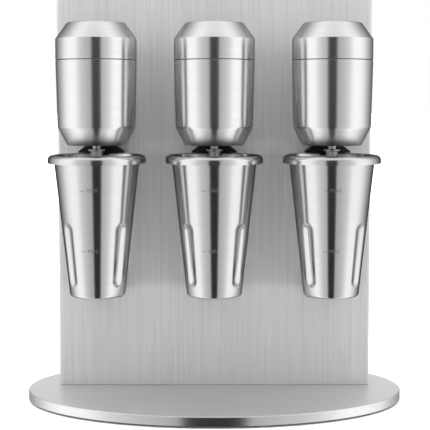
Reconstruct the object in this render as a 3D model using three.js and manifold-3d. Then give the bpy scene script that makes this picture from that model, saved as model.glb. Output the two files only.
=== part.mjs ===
// A milkshake mixer with three heads: a flat oval base, an upright column, and for each head a motor,
// a spindle with its agitator, a start lever that the cup lifts, and a tapered cup that hangs from the
// lever and stands on a rest.
// Millimetres, +Z up. The origin is on the floor under the middle of the base, and the front faces -Y.
import * as THREE from "three";
import { mergeVertices } from "three/addons/utils/BufferGeometryUtils.js";
import Module from "manifold-3d";

const wasm = await Module();
wasm.setup();

// ---- Driving dimensions ----

const TOUCH_GAP = 0.3; // between pieces that meet
const MOVING_GAP = 1.6; // between pieces that move past each other
const ROUND_SIDES = 24; // sides of a large round piece
const SMALL_SIDES = 16; // sides of a small round piece
const ARC_STEPS = 2; // steps on a rounded corner

const FOOT_RADIUS = 12;
const FOOT_SPACING_X = 300;
const FOOT_SPACING_Y = 150;
const FOOT_TAPER = 2; // narrower at the floor

const BASE_WIDTH = 457;
const BASE_DEPTH = 254;
const BASE_HEIGHT = 11; // of the rim
const BASE_LIFT = 3; // from the floor to the rim
const BASE_EDGE = 2; // rounding of the upper edge
const BASE_SIDES = 32; // to a half turn
const WEIGHT_THICKNESS = 7;

const SHEET = 1.5; // sheet metal of the base, the column and its cover
const COLUMN_HEIGHT = 475.7;
const COLUMN_DEPTH = 52;
const COLUMN_FRONT = 5; // behind the middle of the base
const COLUMN_SIDE_MARGIN = 55; // from an outer head's axis to the column's side
const COLUMN_CORNER = 4; // rounding of the upright edges
const COLUMN_TOP_ROUND = 8; // rounding of the top's front and rear edges
const FLANGE = 14; // width of the column's inward flanges
const COVER_OVERLAP = 8; // of the rear cover on the column's flange

const CUP_HEIGHT = 164.5;
const CUP_MOUTH_RADIUS = 50.3; // outside of the wall
const CUP_BOTTOM_RADIUS = 32;
const CUP_WALL = 0.9;
const CUP_BOTTOM_ROUND = 4;
const CUP_SIDES = 30;
const RIM_OVERHANG = 6.8; // of the rolled rim beyond the wall
const RIM_HEIGHT = 9.4;
const RIM_ROUND = 5.5;
const FLUTE_COUNT = 3;
const FLUTE_DEPTH = 2.2;
const FLUTE_HALF_ANGLE = 12.5; // degrees
const FLUTE_BOTTOM = 12; // above the cup's bottom
const FLUTE_LENGTH = 76;
const FLUTE_RUN_OUT = 8; // at each end of a flute
const CUP_SPACING = 22.8; // between the rims of neighbouring cups
const RIM_TO_COLUMN = 4.9;

const HEAD_DROP = 34.2; // from the column's top to a head's top
const HEAD_WALL = 1.2;
const HEAD_RADIUS = 46.9; // at the seam
const SHOULDER_WIDTH = 13.3;
const CAP_HEIGHT = 43.2;
const SHOULDER_HEIGHT = 18.7;
const HOUSING_HEIGHT = 97.9;
const HOUSING_NARROWING = 1.9; // from the seam to the waist, where the lower taper starts
const HOUSING_TAPER_HEIGHT = 20.6;
const HOUSING_TAPER_WIDTH = 10.8;
const SPIGOT_HEIGHT = 4; // of the housing inside the cap

const SHAFT_RADIUS = 4.7;
const RUNNING_GAP = 0.3; // between a shaft and its bore
const BEARING_RADIUS = 13;
const BEARING_HEIGHT = 8;
const BEARING_SEAT_WALL = 2.2;
const UPPER_BEARING_RISE = 14; // above the seam
const FAN_HEIGHT = 9;
const FAN_BLADES = 7;
const FAN_RISE = 13; // above the housing's bottom
const STATOR_RISE = 31; // above the housing's bottom
const STATOR_DROP = 26; // below the seam
const STATOR_WALL = 14; // of the yoke and one pole
const POLE_HALF_WIDTH = 12;
const AIR_GAP = 0.7;
const ARMATURE_RADIUS = 16.8;
const COMMUTATOR_RADIUS = 10;
const COMMUTATOR_LENGTH = 14;

const RIM_DROP = 11.5; // from the housing's bottom to the cup's rim
const HUB_FLANGE_RADIUS = 9.4;
const HUB_FLANGE_THICKNESS = 2;
const HUB_BODY_RADIUS = 6.9;
const HUB_LENGTH = 15.6;
const HUB_DROP = 5.1; // from the housing's bottom to the hub's flange
const AGITATOR_SHAFT_RADIUS = 3.2;
const AGITATOR_DISC_RADIUS = 13;
const AGITATOR_DISC_THICKNESS = 3;
const AGITATOR_FLOOR_GAP = 26; // from the cup's floor to the disc

const LEVER_TRAVEL = 6;
const LEVER_HALF_WIDTH = 27.4; // at the cup's rim
const LEVER_EDGE = 1.5; // height of the lever's upright lower edge
const LEVER_TOP_HALF_WIDTH = 13;
const LEVER_HEIGHT = 12.5;
const LEVER_REACH = 18; // in front of the column
const LEVER_HOOK_HALF_WIDTH = 8;
const LEVER_HOOK_THICKNESS = 2.4;
const LEVER_HOOK_DROP = 2.6; // below the cup's rim
const LEVER_TAIL_HALF_WIDTH = 13;
const LEVER_TAIL_LENGTH = 15; // behind the column's face
const LEVER_TAIL_THICKNESS = 8;
const LEVER_SLOT_MARGIN = 2;

const SWITCH_THICKNESS = 10;
const SWITCH_HEIGHT = 18;
const SWITCH_LEG = 6;

const BRACKET_HALF_WIDTH = 24;
const BRACKET_RISE = 33; // above the housing's bottom
const BRACKET_HEIGHT = 52;
const BRACKET_ROUND = 5;

const RAIL_HEIGHT = 48;
const RAIL_DEPTH = 14;
const RAIL_STEEL = 2.5;
const ANGLE_LEG = 30;
const ANGLE_STEEL = 3;
const END_CLEARANCE = 12; // from the rail's and the angle's ends to the column's sides

const REST_HALF_WIDTH = 22;
const REST_THICKNESS = 6;
const REST_SUPPORT = 13; // of the cup's bottom on the rest
const REST_STOP_HEIGHT = 11.5; // of the upstand behind the cup
const REST_STOP_THICKNESS = 3.1;
const REST_FOOT = 8; // of the rest's mounting flange below its shelf
const REST_FOOT_THICKNESS = 3;

const VENT_WIDTH = 60;
const VENT_HEIGHT = 4;
const VENT_PITCH = 11;
const VENT_COUNT = 7;
const VENT_DROP = 140; // from the column's top to the uppermost vent

const ROCKER_DROP = 58; // from the column's top to a speed switch
const ROCKER_BEZEL_WIDTH = 25;
const ROCKER_BEZEL_HEIGHT = 31;
const BEZEL_THICKNESS = 2;
const BEZEL_LIP = 2; // of a bezel around its cutout
const ROCKER_WALL = 2;
const ROCKER_GAP = 1;
const ROCKER_WELL = 9;
const ROCKER_BODY_DEPTH = 20;

const INLET_RISE = 36; // above the base
const INLET_WIDTH = 31;
const INLET_HEIGHT = 24;
const INLET_DEPTH = 22;
const INLET_WALL = 2.5;
const INLET_SOCKET_DEPTH = 17;
const PIN_LENGTH = 14;
const PIN_WIDTH = 2;
const PIN_HEIGHT = 5;
const PIN_SPREAD = 8;

const TERMINAL_COUNT = 6;
const TERMINAL_PITCH = 10;
const TERMINAL_HEIGHT = 16;
const TERMINAL_DEPTH = 18;

// ---- Levels and places worked out from them ----

const BASE_TOP = BASE_LIFT + BASE_HEIGHT;
const COLUMN_BOTTOM = BASE_TOP + TOUCH_GAP;
const COLUMN_TOP = COLUMN_BOTTOM + COLUMN_HEIGHT;
const COLUMN_REAR = COLUMN_FRONT + COLUMN_DEPTH;
const COVER_FRONT = COLUMN_REAR + TOUCH_GAP;
const COVER_REAR = COVER_FRONT + SHEET;
const RIM_RADIUS = CUP_MOUTH_RADIUS + RIM_OVERHANG;
const HEAD_PITCH = 2 * RIM_RADIUS + CUP_SPACING;
const HEAD_Y = COLUMN_FRONT - RIM_TO_COLUMN - RIM_RADIUS;
const COLUMN_HALF_WIDTH = HEAD_PITCH + COLUMN_SIDE_MARGIN;
const HEAD_TOP = COLUMN_TOP - HEAD_DROP;
const HEAD_TOP_RADIUS = HEAD_RADIUS - SHOULDER_WIDTH;
const HOUSING_WAIST_RADIUS = HEAD_RADIUS - HOUSING_NARROWING;
const HOUSING_BOTTOM_RADIUS = HOUSING_WAIST_RADIUS - HOUSING_TAPER_WIDTH;
const SEAM = HEAD_TOP - CAP_HEIGHT;
const HOUSING_BOTTOM = SEAM - HOUSING_HEIGHT;
const RIM_TOP = HOUSING_BOTTOM - RIM_DROP;
const CUP_BOTTOM = RIM_TOP - CUP_HEIGHT;
const HUB_TOP = HOUSING_BOTTOM - HUB_DROP;
const HUB_BOTTOM = HUB_TOP - HUB_LENGTH;
const BEARING_BORE = SHAFT_RADIUS + RUNNING_GAP;
const SEAT_RADIUS = BEARING_RADIUS + TOUCH_GAP;
const SEAT_OUTSIDE = SEAT_RADIUS + BEARING_SEAT_WALL;
const LOWER_BEARING_BOTTOM = HOUSING_BOTTOM + HEAD_WALL + TOUCH_GAP;
const UPPER_BEARING_BOTTOM = SEAM + UPPER_BEARING_RISE;
const UPPER_BEARING_TOP = UPPER_BEARING_BOTTOM + BEARING_HEIGHT;
const STATOR_BOTTOM = HOUSING_BOTTOM + STATOR_RISE;
const STATOR_TOP = SEAM - STATOR_DROP;
const ROTOR_END = HUB_BOTTOM + HUB_LENGTH / 2 + TOUCH_GAP;
const AGITATOR_END = HUB_BOTTOM + HUB_LENGTH / 2 - TOUCH_GAP;
const AGITATOR_BOTTOM = CUP_BOTTOM + CUP_WALL + AGITATOR_FLOOR_GAP;
const INNER_FRONT = COLUMN_FRONT + SHEET + TOUCH_GAP;
const BRACKET_BOTTOM = HOUSING_BOTTOM + BRACKET_RISE;
const LEVER_BOTTOM = RIM_TOP + TOUCH_GAP;
const TAIL_BOTTOM = LEVER_BOTTOM + (LEVER_HEIGHT - LEVER_TAIL_THICKNESS) / 2;
const ROCKER_Z = COLUMN_TOP - ROCKER_DROP;
const INLET_Z = BASE_TOP + INLET_RISE;
const HEADS = { left: -HEAD_PITCH, middle: 0, right: HEAD_PITCH };

// ---- Outlines, shapes and solids ----

/** Points of an outline. A corner is [x, y] or, where it is rounded, [x, y, radius]. */
function outline(corners) {
  return corners.flatMap(([x, y, radius], i) => {
    const corner = new THREE.Vector2(x, y);
    if (!radius) return [corner];
    const before = corners.at(i - 1);
    const after = corners[(i + 1) % corners.length];
    const toBefore = new THREE.Vector2(before[0], before[1]).sub(corner).normalize();
    const toAfter = new THREE.Vector2(after[0], after[1]).sub(corner).normalize();
    const halfAngle = Math.acos(toBefore.dot(toAfter)) / 2;
    const inward = toBefore.clone().add(toAfter).normalize();
    const centre = corner.clone().addScaledVector(inward, radius / Math.sin(halfAngle));
    const start = corner.clone().addScaledVector(toBefore, radius / Math.tan(halfAngle)).sub(centre);
    const end = corner.clone().addScaledVector(toAfter, radius / Math.tan(halfAngle)).sub(centre);
    const turn = Math.atan2(start.cross(end), start.dot(end));
    return Array.from({ length: ARC_STEPS + 1 }, (_, step) =>
      start.clone().rotateAround(new THREE.Vector2(), (turn * step) / ARC_STEPS).add(centre),
    );
  });
}

/** A closed mesh with shared corners, no slivers of zero area, and its faces pointing out. */
function closed(geometry) {
  geometry.deleteAttribute("normal");
  geometry.deleteAttribute("uv");
  const merged = mergeVertices(geometry, 1e-3);
  const kept = [];
  for (let i = 0; i < merged.index.count; i += 3) {
    const [a, b, c] = [0, 1, 2].map((k) => merged.index.getX(i + k));
    if (a !== b && b !== c && c !== a) kept.push(a, b, c);
  }
  merged.setIndex(kept);
  if (volumeOf(merged) < 0) merged.setIndex(kept.reverse());
  merged.computeVertexNormals();
  return merged;
}

/** Six times the volume that a closed mesh encloses, negative where it is inside out. */
function volumeOf(geometry) {
  const { position } = geometry.attributes;
  const at = (i) => new THREE.Vector3().fromBufferAttribute(position, geometry.index.getX(i));
  let sum = 0;
  for (let i = 0; i < geometry.index.count; i += 3) sum += at(i).dot(at(i + 1).cross(at(i + 2)));
  return sum;
}

/** A solid turned about Z from [radius, height] corners, from axis to axis or closing on themselves. */
function turned(corners, sides = ROUND_SIDES) {
  const points = outline(corners);
  if (points[0].x > 0) points.push(points[0].clone());
  return closed(new THREE.LatheGeometry(points, sides).rotateX(Math.PI / 2));
}

/** A shape raised along Z from one height to another. */
function raised(shape, low, high, options = {}) {
  const settings = { depth: high - low, bevelEnabled: false, ...options };
  return closed(new THREE.ExtrudeGeometry(shape, settings).translate(0, 0, low));
}

/** An outline of [y, z] corners extruded along X. */
function alongX(corners, low, high) {
  const toRow = new THREE.Matrix4().makeBasis(
    new THREE.Vector3(0, 1, 0),
    new THREE.Vector3(0, 0, 1),
    new THREE.Vector3(1, 0, 0),
  );
  return raised(new THREE.Shape(outline(corners)), low, high).applyMatrix4(toRow);
}

/** An outline of [x, z] corners extruded along Y. */
function alongY(corners, low, high) {
  return raised(new THREE.Shape(outline(corners)), -high, -low).rotateX(Math.PI / 2);
}

/** A plain block between two corners. */
function block([x0, y0, z0], [x1, y1, z1]) {
  const box = new THREE.BoxGeometry(x1 - x0, y1 - y0, z1 - z0);
  return closed(box.translate((x0 + x1) / 2, (y0 + y1) / 2, (z0 + z1) / 2));
}

/** A rectangle's corners, each with the same rounding. */
function rectangle(x0, x1, y0, y1, radius = 0) {
  return [
    [x0, y0, radius],
    [x1, y0, radius],
    [x1, y1, radius],
    [x0, y1, radius],
  ];
}

function solid(geometry) {
  const vertProperties = new Float32Array(geometry.attributes.position.array);
  const triVerts = new Uint32Array(geometry.index.array);
  return new wasm.Manifold(new wasm.Mesh({ numProp: 3, vertProperties, triVerts }));
}

function fromSolid(manifold) {
  const mesh = manifold.getMesh();
  const geometry = new THREE.BufferGeometry();
  geometry.setAttribute("position", new THREE.BufferAttribute(mesh.vertProperties, 3));
  geometry.setIndex(new THREE.BufferAttribute(mesh.triVerts, 1));
  geometry.computeVertexNormals();
  return geometry;
}

function cut(body, ...tools) {
  return fromSolid(tools.reduce((made, tool) => made.subtract(solid(tool)), solid(body)));
}

function join(body, ...others) {
  return fromSolid(others.reduce((made, other) => made.add(solid(other)), solid(body)));
}

function common(body, other) {
  return fromSolid(solid(body).intersect(solid(other)));
}

// ---- Finishes ----

const finish = (color, roughness, metalness) => () =>
  new THREE.MeshStandardMaterial({ color, roughness, metalness, flatShading: true });
const brushedSteel = finish(0xbfc0c2, 0.35, 1);
const polishedSteel = finish(0xcfd0d2, 0.18, 1);
const chrome = finish(0xd8d9db, 0.08, 1);
const plainSteel = finish(0x8d8f92, 0.5, 1);
const zincSteel = finish(0xa5a8ab, 0.45, 1);
const copperAndIron = finish(0x7a5a44, 0.5, 0.8);
const blackPlastic = finish(0x17181a, 0.45, 0);
const greyPlastic = finish(0x4a4c50, 0.5, 0);
const blackRubber = finish(0x1b1b1c, 0.9, 0);

/** A named piece in its finish. */
function piece(name, geometry, material) {
  const mesh = new THREE.Mesh(geometry, material());
  mesh.name = name;
  return mesh;
}

// ---- Base ----

function ellipse(inset) {
  return new THREE.Shape().absellipse(0, 0, BASE_WIDTH / 2 - inset, BASE_DEPTH / 2 - inset, 0, 2 * Math.PI);
}

function baseShell() {
  const rounding = {
    bevelEnabled: true,
    bevelSize: BASE_EDGE,
    bevelThickness: BASE_EDGE,
    bevelSegments: ARC_STEPS,
  };
  const curveSegments = BASE_SIDES;
  const outside = raised(ellipse(BASE_EDGE), BASE_LIFT - BASE_EDGE, BASE_TOP - BASE_EDGE, {
    ...rounding,
    curveSegments,
  });
  const inside = raised(ellipse(SHEET), BASE_LIFT - 2 * BASE_EDGE, BASE_TOP - SHEET, { curveSegments });
  const under = block([-BASE_WIDTH, -BASE_DEPTH, -BASE_HEIGHT], [BASE_WIDTH, BASE_DEPTH, BASE_LIFT]);
  return cut(outside, inside, under);
}

function baseWeight() {
  const top = BASE_TOP - SHEET - TOUCH_GAP;
  return raised(ellipse(SHEET + TOUCH_GAP), top - WEIGHT_THICKNESS, top, { curveSegments: BASE_SIDES });
}

function foot() {
  const top = BASE_TOP - SHEET - WEIGHT_THICKNESS - 2 * TOUCH_GAP;
  const corners = [
    [0, 0],
    [FOOT_RADIUS - FOOT_TAPER, 0],
    [FOOT_RADIUS, top],
    [0, top],
  ];
  return turned(corners, SMALL_SIDES);
}

function buildBase() {
  const group = new THREE.Group();
  group.add(piece("base_shell", baseShell(), brushedSteel));
  group.add(piece("base_weight", baseWeight(), plainSteel));
  const places = { front: -FOOT_SPACING_Y / 2, rear: FOOT_SPACING_Y / 2 };
  for (const [row, y] of Object.entries(places)) {
    for (const side of [-1, 1]) {
      const made = piece(`foot_${row}_${side < 0 ? "left" : "right"}`, foot(), blackRubber);
      made.position.set((side * FOOT_SPACING_X) / 2, y, 0);
      group.add(made);
    }
  }
  return group;
}

// ---- Column ----

/** The column's outer form, or its inner one when it is inset by the sheet's thickness. */
function columnForm(inset) {
  const half = COLUMN_HALF_WIDTH - inset;
  const front = COLUMN_FRONT + inset;
  const rear = COLUMN_REAR - inset;
  const plan = outline(rectangle(-half, half, front, rear, COLUMN_CORNER - inset));
  const side = [
    [front, COLUMN_BOTTOM + inset],
    [rear, COLUMN_BOTTOM + inset],
    [rear, COLUMN_TOP - inset, COLUMN_TOP_ROUND - inset],
    [front, COLUMN_TOP - inset, COLUMN_TOP_ROUND - inset],
  ];
  const upright = raised(new THREE.Shape(plan), COLUMN_BOTTOM + inset, COLUMN_TOP - inset);
  return common(upright, alongX(side, -half, half));
}

function columnShell() {
  const half = COLUMN_HALF_WIDTH - FLANGE;
  const rearOpening = alongY(
    rectangle(-half, half, COLUMN_BOTTOM + FLANGE, COLUMN_TOP - FLANGE),
    COLUMN_REAR - 2 * SHEET,
    COLUMN_REAR + SHEET,
  );
  const bottomOpening = block(
    [-half, COLUMN_FRONT + ANGLE_LEG + FLANGE / 2, COLUMN_BOTTOM - SHEET],
    [half, COLUMN_REAR - FLANGE / 2, COLUMN_BOTTOM + 2 * SHEET],
  );
  const tailSlots = Object.values(HEADS).map((x) =>
    block(
      [
        x - LEVER_TAIL_HALF_WIDTH - LEVER_SLOT_MARGIN,
        COLUMN_FRONT - SHEET,
        TAIL_BOTTOM - LEVER_SLOT_MARGIN,
      ],
      [
        x + LEVER_TAIL_HALF_WIDTH + LEVER_SLOT_MARGIN,
        COLUMN_FRONT + 2 * SHEET,
        TAIL_BOTTOM + LEVER_TAIL_THICKNESS + LEVER_TRAVEL + LEVER_SLOT_MARGIN,
      ],
    ),
  );
  return cut(columnForm(0), columnForm(SHEET), rearOpening, bottomOpening, ...tailSlots);
}

function rearCover() {
  const half = COLUMN_HALF_WIDTH - FLANGE + COVER_OVERLAP;
  const low = COLUMN_BOTTOM + FLANGE - COVER_OVERLAP;
  const high = COLUMN_TOP - FLANGE + COVER_OVERLAP;
  const plate = alongY(rectangle(-half, half, low, high, COLUMN_CORNER), COVER_FRONT, COVER_REAR);
  const cutout = (x, z, width, height) =>
    block(
      [x - width / 2, COVER_FRONT - SHEET, z - height / 2],
      [x + width / 2, COVER_REAR + SHEET, z + height / 2],
    );
  const openings = [cutout(0, INLET_Z, INLET_WIDTH, INLET_HEIGHT)];
  for (const x of Object.values(HEADS)) {
    const width = ROCKER_BEZEL_WIDTH - 2 * BEZEL_LIP;
    openings.push(cutout(x, ROCKER_Z, width, ROCKER_BEZEL_HEIGHT - 2 * BEZEL_LIP));
    for (let i = 0; i < VENT_COUNT; i += 1) {
      openings.push(cutout(x, COLUMN_TOP - VENT_DROP - i * VENT_PITCH, VENT_WIDTH, VENT_HEIGHT));
    }
  }
  return cut(plate, ...openings);
}

/** A channel across the column, open to the rear, that the three brackets bolt to. */
function headRail() {
  const half = COLUMN_HALF_WIDTH - SHEET - END_CLEARANCE;
  const low = BRACKET_BOTTOM + (BRACKET_HEIGHT - RAIL_HEIGHT) / 2;
  const high = low + RAIL_HEIGHT;
  const rear = INNER_FRONT + RAIL_DEPTH;
  const web = INNER_FRONT + RAIL_STEEL;
  const corners = [
    [INNER_FRONT, low],
    [rear, low],
    [rear, low + RAIL_STEEL],
    [web, low + RAIL_STEEL],
    [web, high - RAIL_STEEL],
    [rear, high - RAIL_STEEL],
    [rear, high],
    [INNER_FRONT, high],
  ];
  return alongX(corners, -half, half);
}

const ANGLE_BOTTOM = COLUMN_BOTTOM + SHEET + TOUCH_GAP;

/** The angle that bolts the column down through its bottom flange. */
function baseAngle() {
  const half = COLUMN_HALF_WIDTH - SHEET - END_CLEARANCE;
  const corners = [
    [INNER_FRONT, ANGLE_BOTTOM],
    [INNER_FRONT + ANGLE_LEG, ANGLE_BOTTOM],
    [INNER_FRONT + ANGLE_LEG, ANGLE_BOTTOM + ANGLE_STEEL],
    [INNER_FRONT + ANGLE_STEEL, ANGLE_BOTTOM + ANGLE_STEEL],
    [INNER_FRONT + ANGLE_STEEL, ANGLE_BOTTOM + ANGLE_LEG],
    [INNER_FRONT, ANGLE_BOTTOM + ANGLE_LEG],
  ];
  return alongX(corners, -half, half);
}

/** A row of wire terminals with a groove between each pair. */
function terminalBlock() {
  const half = (TERMINAL_COUNT * TERMINAL_PITCH) / 2;
  const low = ANGLE_BOTTOM + ANGLE_STEEL + TOUCH_GAP;
  const front = INNER_FRONT + ANGLE_STEEL + MOVING_GAP;
  const body = block([-half, front, low], [half, front + TERMINAL_DEPTH, low + TERMINAL_HEIGHT]);
  const grooves = [];
  for (let i = 1; i < TERMINAL_COUNT; i += 1) {
    const x = i * TERMINAL_PITCH - half;
    const depth = TERMINAL_HEIGHT / 3;
    grooves.push(
      block(
        [x - SHEET / 2, front - SHEET, low + TERMINAL_HEIGHT - depth],
        [x + SHEET / 2, front + TERMINAL_DEPTH + SHEET, low + TERMINAL_HEIGHT + SHEET],
      ),
    );
  }
  return cut(body, ...grooves);
}

/** A mains inlet: a bezel outside the cover and a socket with three flat pins. */
function powerInlet() {
  const bezelFront = COVER_REAR + TOUCH_GAP;
  const bezelRear = bezelFront + BEZEL_THICKNESS;
  const halfWidth = INLET_WIDTH / 2 - TOUCH_GAP;
  const halfHeight = INLET_HEIGHT / 2 - TOUCH_GAP;
  const rim = rectangle(
    -INLET_WIDTH / 2 - 2 * BEZEL_LIP,
    INLET_WIDTH / 2 + 2 * BEZEL_LIP,
    -INLET_HEIGHT / 2 - BEZEL_LIP,
    INLET_HEIGHT / 2 + BEZEL_LIP,
    BEZEL_LIP,
  );
  const bezel = alongY(rim, bezelFront, bezelRear);
  const body = block([-halfWidth, bezelRear - INLET_DEPTH, -halfHeight], [halfWidth, bezelRear, halfHeight]);
  const socket = alongY(
    rectangle(
      -halfWidth + INLET_WALL,
      halfWidth - INLET_WALL,
      -halfHeight + INLET_WALL,
      halfHeight - INLET_WALL,
      INLET_WALL,
    ),
    bezelRear - INLET_SOCKET_DEPTH,
    bezelRear + SHEET,
  );
  const pinRoot = bezelRear - INLET_SOCKET_DEPTH - SHEET;
  const pinAt = (x, z) =>
    block(
      [x - PIN_WIDTH / 2, pinRoot, z - PIN_HEIGHT / 2],
      [x + PIN_WIDTH / 2, pinRoot + PIN_LENGTH, z + PIN_HEIGHT / 2],
    );
  const pins = [pinAt(-PIN_SPREAD, -PIN_WIDTH), pinAt(PIN_SPREAD, -PIN_WIDTH), pinAt(0, 2 * PIN_WIDTH)];
  return join(cut(join(body, bezel), socket), ...pins);
}

function buildColumn() {
  const group = new THREE.Group();
  group.add(piece("column_shell", columnShell(), brushedSteel));
  group.add(piece("rear_cover", rearCover(), brushedSteel));
  group.add(piece("head_rail", headRail(), zincSteel));
  group.add(piece("base_angle", baseAngle(), zincSteel));
  group.add(piece("terminal_block", terminalBlock(), greyPlastic));
  const inlet = piece("power_inlet", powerInlet(), blackPlastic);
  inlet.position.z = INLET_Z;
  group.add(inlet);
  return group;
}

// ---- Motor ----

/** Radius of the housing's outside at a height above its bottom. */
function housingRadius(rise) {
  if (rise < HOUSING_TAPER_HEIGHT) {
    const share = rise / HOUSING_TAPER_HEIGHT;
    return HOUSING_BOTTOM_RADIUS + (HOUSING_WAIST_RADIUS - HOUSING_BOTTOM_RADIUS) * share;
  }
  const share = (rise - HOUSING_TAPER_HEIGHT) / (HOUSING_HEIGHT - HOUSING_TAPER_HEIGHT);
  return HOUSING_WAIST_RADIUS + (HEAD_RADIUS - HOUSING_WAIST_RADIUS) * share;
}

/** What is left of a round wall's inner radius between the middles of its flat sides. */
function flatRadius(radius) {
  return radius * Math.cos(Math.PI / ROUND_SIDES);
}

function motorCap() {
  const inner = HEAD_RADIUS - HEAD_WALL;
  const bearingTop = UPPER_BEARING_TOP + TOUCH_GAP;
  return turned([
    [0, HEAD_TOP],
    [HEAD_TOP_RADIUS, HEAD_TOP, 3],
    [HEAD_RADIUS, HEAD_TOP - SHOULDER_HEIGHT, 3],
    [HEAD_RADIUS, SEAM + TOUCH_GAP / 2],
    [inner, SEAM + TOUCH_GAP / 2],
    [inner, HEAD_TOP - SHOULDER_HEIGHT],
    [HEAD_TOP_RADIUS - HEAD_WALL, HEAD_TOP - 2 * HEAD_WALL],
    [SEAT_OUTSIDE, HEAD_TOP - 2 * HEAD_WALL],
    [SEAT_OUTSIDE, UPPER_BEARING_BOTTOM],
    [SEAT_RADIUS, UPPER_BEARING_BOTTOM],
    [SEAT_RADIUS, bearingTop],
    [0, bearingTop],
  ]);
}

function motorHousing() {
  const seam = SEAM - TOUCH_GAP / 2;
  const waist = HOUSING_BOTTOM + HOUSING_TAPER_HEIGHT;
  const floor = HOUSING_BOTTOM + HEAD_WALL;
  const spigot = flatRadius(HEAD_RADIUS - HEAD_WALL) - TOUCH_GAP;
  return turned([
    [spigot, seam],
    [HEAD_RADIUS, seam],
    [HOUSING_WAIST_RADIUS, waist, 6],
    [HOUSING_BOTTOM_RADIUS, HOUSING_BOTTOM, 1.5],
    [SEAT_RADIUS - BEARING_SEAT_WALL, HOUSING_BOTTOM],
    [SEAT_RADIUS - BEARING_SEAT_WALL, floor],
    [SEAT_RADIUS, floor],
    [SEAT_RADIUS, LOWER_BEARING_BOTTOM + BEARING_HEIGHT],
    [SEAT_OUTSIDE, LOWER_BEARING_BOTTOM + BEARING_HEIGHT],
    [SEAT_OUTSIDE, floor],
    [HOUSING_BOTTOM_RADIUS - HEAD_WALL, floor],
    [HOUSING_WAIST_RADIUS - HEAD_WALL, waist],
    [spigot - HEAD_WALL, seam],
    [spigot - HEAD_WALL, SEAM + SPIGOT_HEIGHT],
    [spigot, SEAM + SPIGOT_HEIGHT],
  ]);
}

/** A laminated ring with two poles that face the armature. */
function motorStator() {
  const narrowest = housingRadius(STATOR_RISE) - HEAD_WALL;
  const outer = flatRadius(narrowest) - TOUCH_GAP;
  const bore = ARMATURE_RADIUS + AIR_GAP;
  const shape = new THREE.Shape().absarc(0, 0, outer, 0, 2 * Math.PI);
  const slot = bore + STATOR_WALL;
  const edge = Math.sqrt(bore ** 2 - POLE_HALF_WIDTH ** 2);
  const poleFace = Math.atan2(edge, POLE_HALF_WIDTH);
  const window = new THREE.Path()
    .absarc(0, 0, bore, poleFace, Math.PI - poleFace)
    .lineTo(-POLE_HALF_WIDTH, slot)
    .lineTo(-slot, POLE_HALF_WIDTH)
    .lineTo(-slot, -POLE_HALF_WIDTH)
    .lineTo(-POLE_HALF_WIDTH, -slot)
    .absarc(0, 0, bore, Math.PI + poleFace, 2 * Math.PI - poleFace)
    .lineTo(POLE_HALF_WIDTH, -slot)
    .lineTo(slot, -POLE_HALF_WIDTH)
    .lineTo(slot, POLE_HALF_WIDTH)
    .lineTo(POLE_HALF_WIDTH, slot);
  shape.holes.push(window);
  return raised(shape, STATOR_BOTTOM, STATOR_TOP, { curveSegments: SMALL_SIDES });
}

/** The shaft with its armature and commutator. */
function motorRotor() {
  const collar = UPPER_BEARING_BOTTOM - TOUCH_GAP;
  return turned(
    [
      [0, ROTOR_END],
      [SHAFT_RADIUS, ROTOR_END],
      [SHAFT_RADIUS, STATOR_BOTTOM],
      [ARMATURE_RADIUS, STATOR_BOTTOM],
      [ARMATURE_RADIUS, STATOR_TOP],
      [COMMUTATOR_RADIUS, STATOR_TOP],
      [COMMUTATOR_RADIUS, STATOR_TOP + COMMUTATOR_LENGTH],
      [SHAFT_RADIUS, STATOR_TOP + COMMUTATOR_LENGTH],
      [SHAFT_RADIUS, collar + BEARING_HEIGHT],
      [0, collar + BEARING_HEIGHT],
    ],
    SMALL_SIDES,
  );
}

/** A hub with flat blades. */
function coolingFan() {
  const low = HOUSING_BOTTOM + FAN_RISE;
  const bladeRadius = flatRadius(housingRadius(FAN_RISE) - HEAD_WALL) - MOVING_GAP;
  const hubRadius = SHAFT_RADIUS + 2 * HEAD_WALL + RUNNING_GAP;
  const hub = turned(
    [
      [SHAFT_RADIUS + RUNNING_GAP, low],
      [hubRadius, low],
      [hubRadius, low + FAN_HEIGHT],
      [SHAFT_RADIUS + RUNNING_GAP, low + FAN_HEIGHT],
    ],
    SMALL_SIDES,
  );
  const blades = [];
  for (let i = 0; i < FAN_BLADES; i += 1) {
    const root = [hubRadius - HEAD_WALL / 2, -HEAD_WALL / 2, low];
    const tip = [bladeRadius, HEAD_WALL / 2, low + FAN_HEIGHT];
    blades.push(block(root, tip).rotateZ((i * 2 * Math.PI) / FAN_BLADES));
  }
  return join(hub, ...blades);
}

function bearing(bottom) {
  const top = bottom + BEARING_HEIGHT;
  return turned(
    [
      [BEARING_BORE, bottom],
      [BEARING_RADIUS, bottom],
      [BEARING_RADIUS, top],
      [BEARING_BORE, top],
    ],
    SMALL_SIDES,
  );
}

/** The block that carries a head on the column, hollowed to the housing's form. */
function headBracket() {
  const top = BRACKET_BOTTOM + BRACKET_HEIGHT;
  const rear = COLUMN_FRONT - TOUCH_GAP - HEAD_Y;
  const front = Math.sqrt(HOUSING_WAIST_RADIUS ** 2 - BRACKET_HALF_WIDTH ** 2) - HEAD_WALL;
  const bar = alongY(
    rectangle(-BRACKET_HALF_WIDTH, BRACKET_HALF_WIDTH, BRACKET_BOTTOM, top, BRACKET_ROUND),
    front,
    rear,
  );
  const around = turned([
    [0, HOUSING_BOTTOM],
    [housingRadius(0) + TOUCH_GAP, HOUSING_BOTTOM],
    [HOUSING_WAIST_RADIUS + TOUCH_GAP, HOUSING_BOTTOM + HOUSING_TAPER_HEIGHT],
    [HEAD_RADIUS + TOUCH_GAP, SEAM],
    [HEAD_RADIUS + TOUCH_GAP, HEAD_TOP],
    [0, HEAD_TOP],
  ]);
  return cut(bar, around);
}

// ---- Spindle ----

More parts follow.
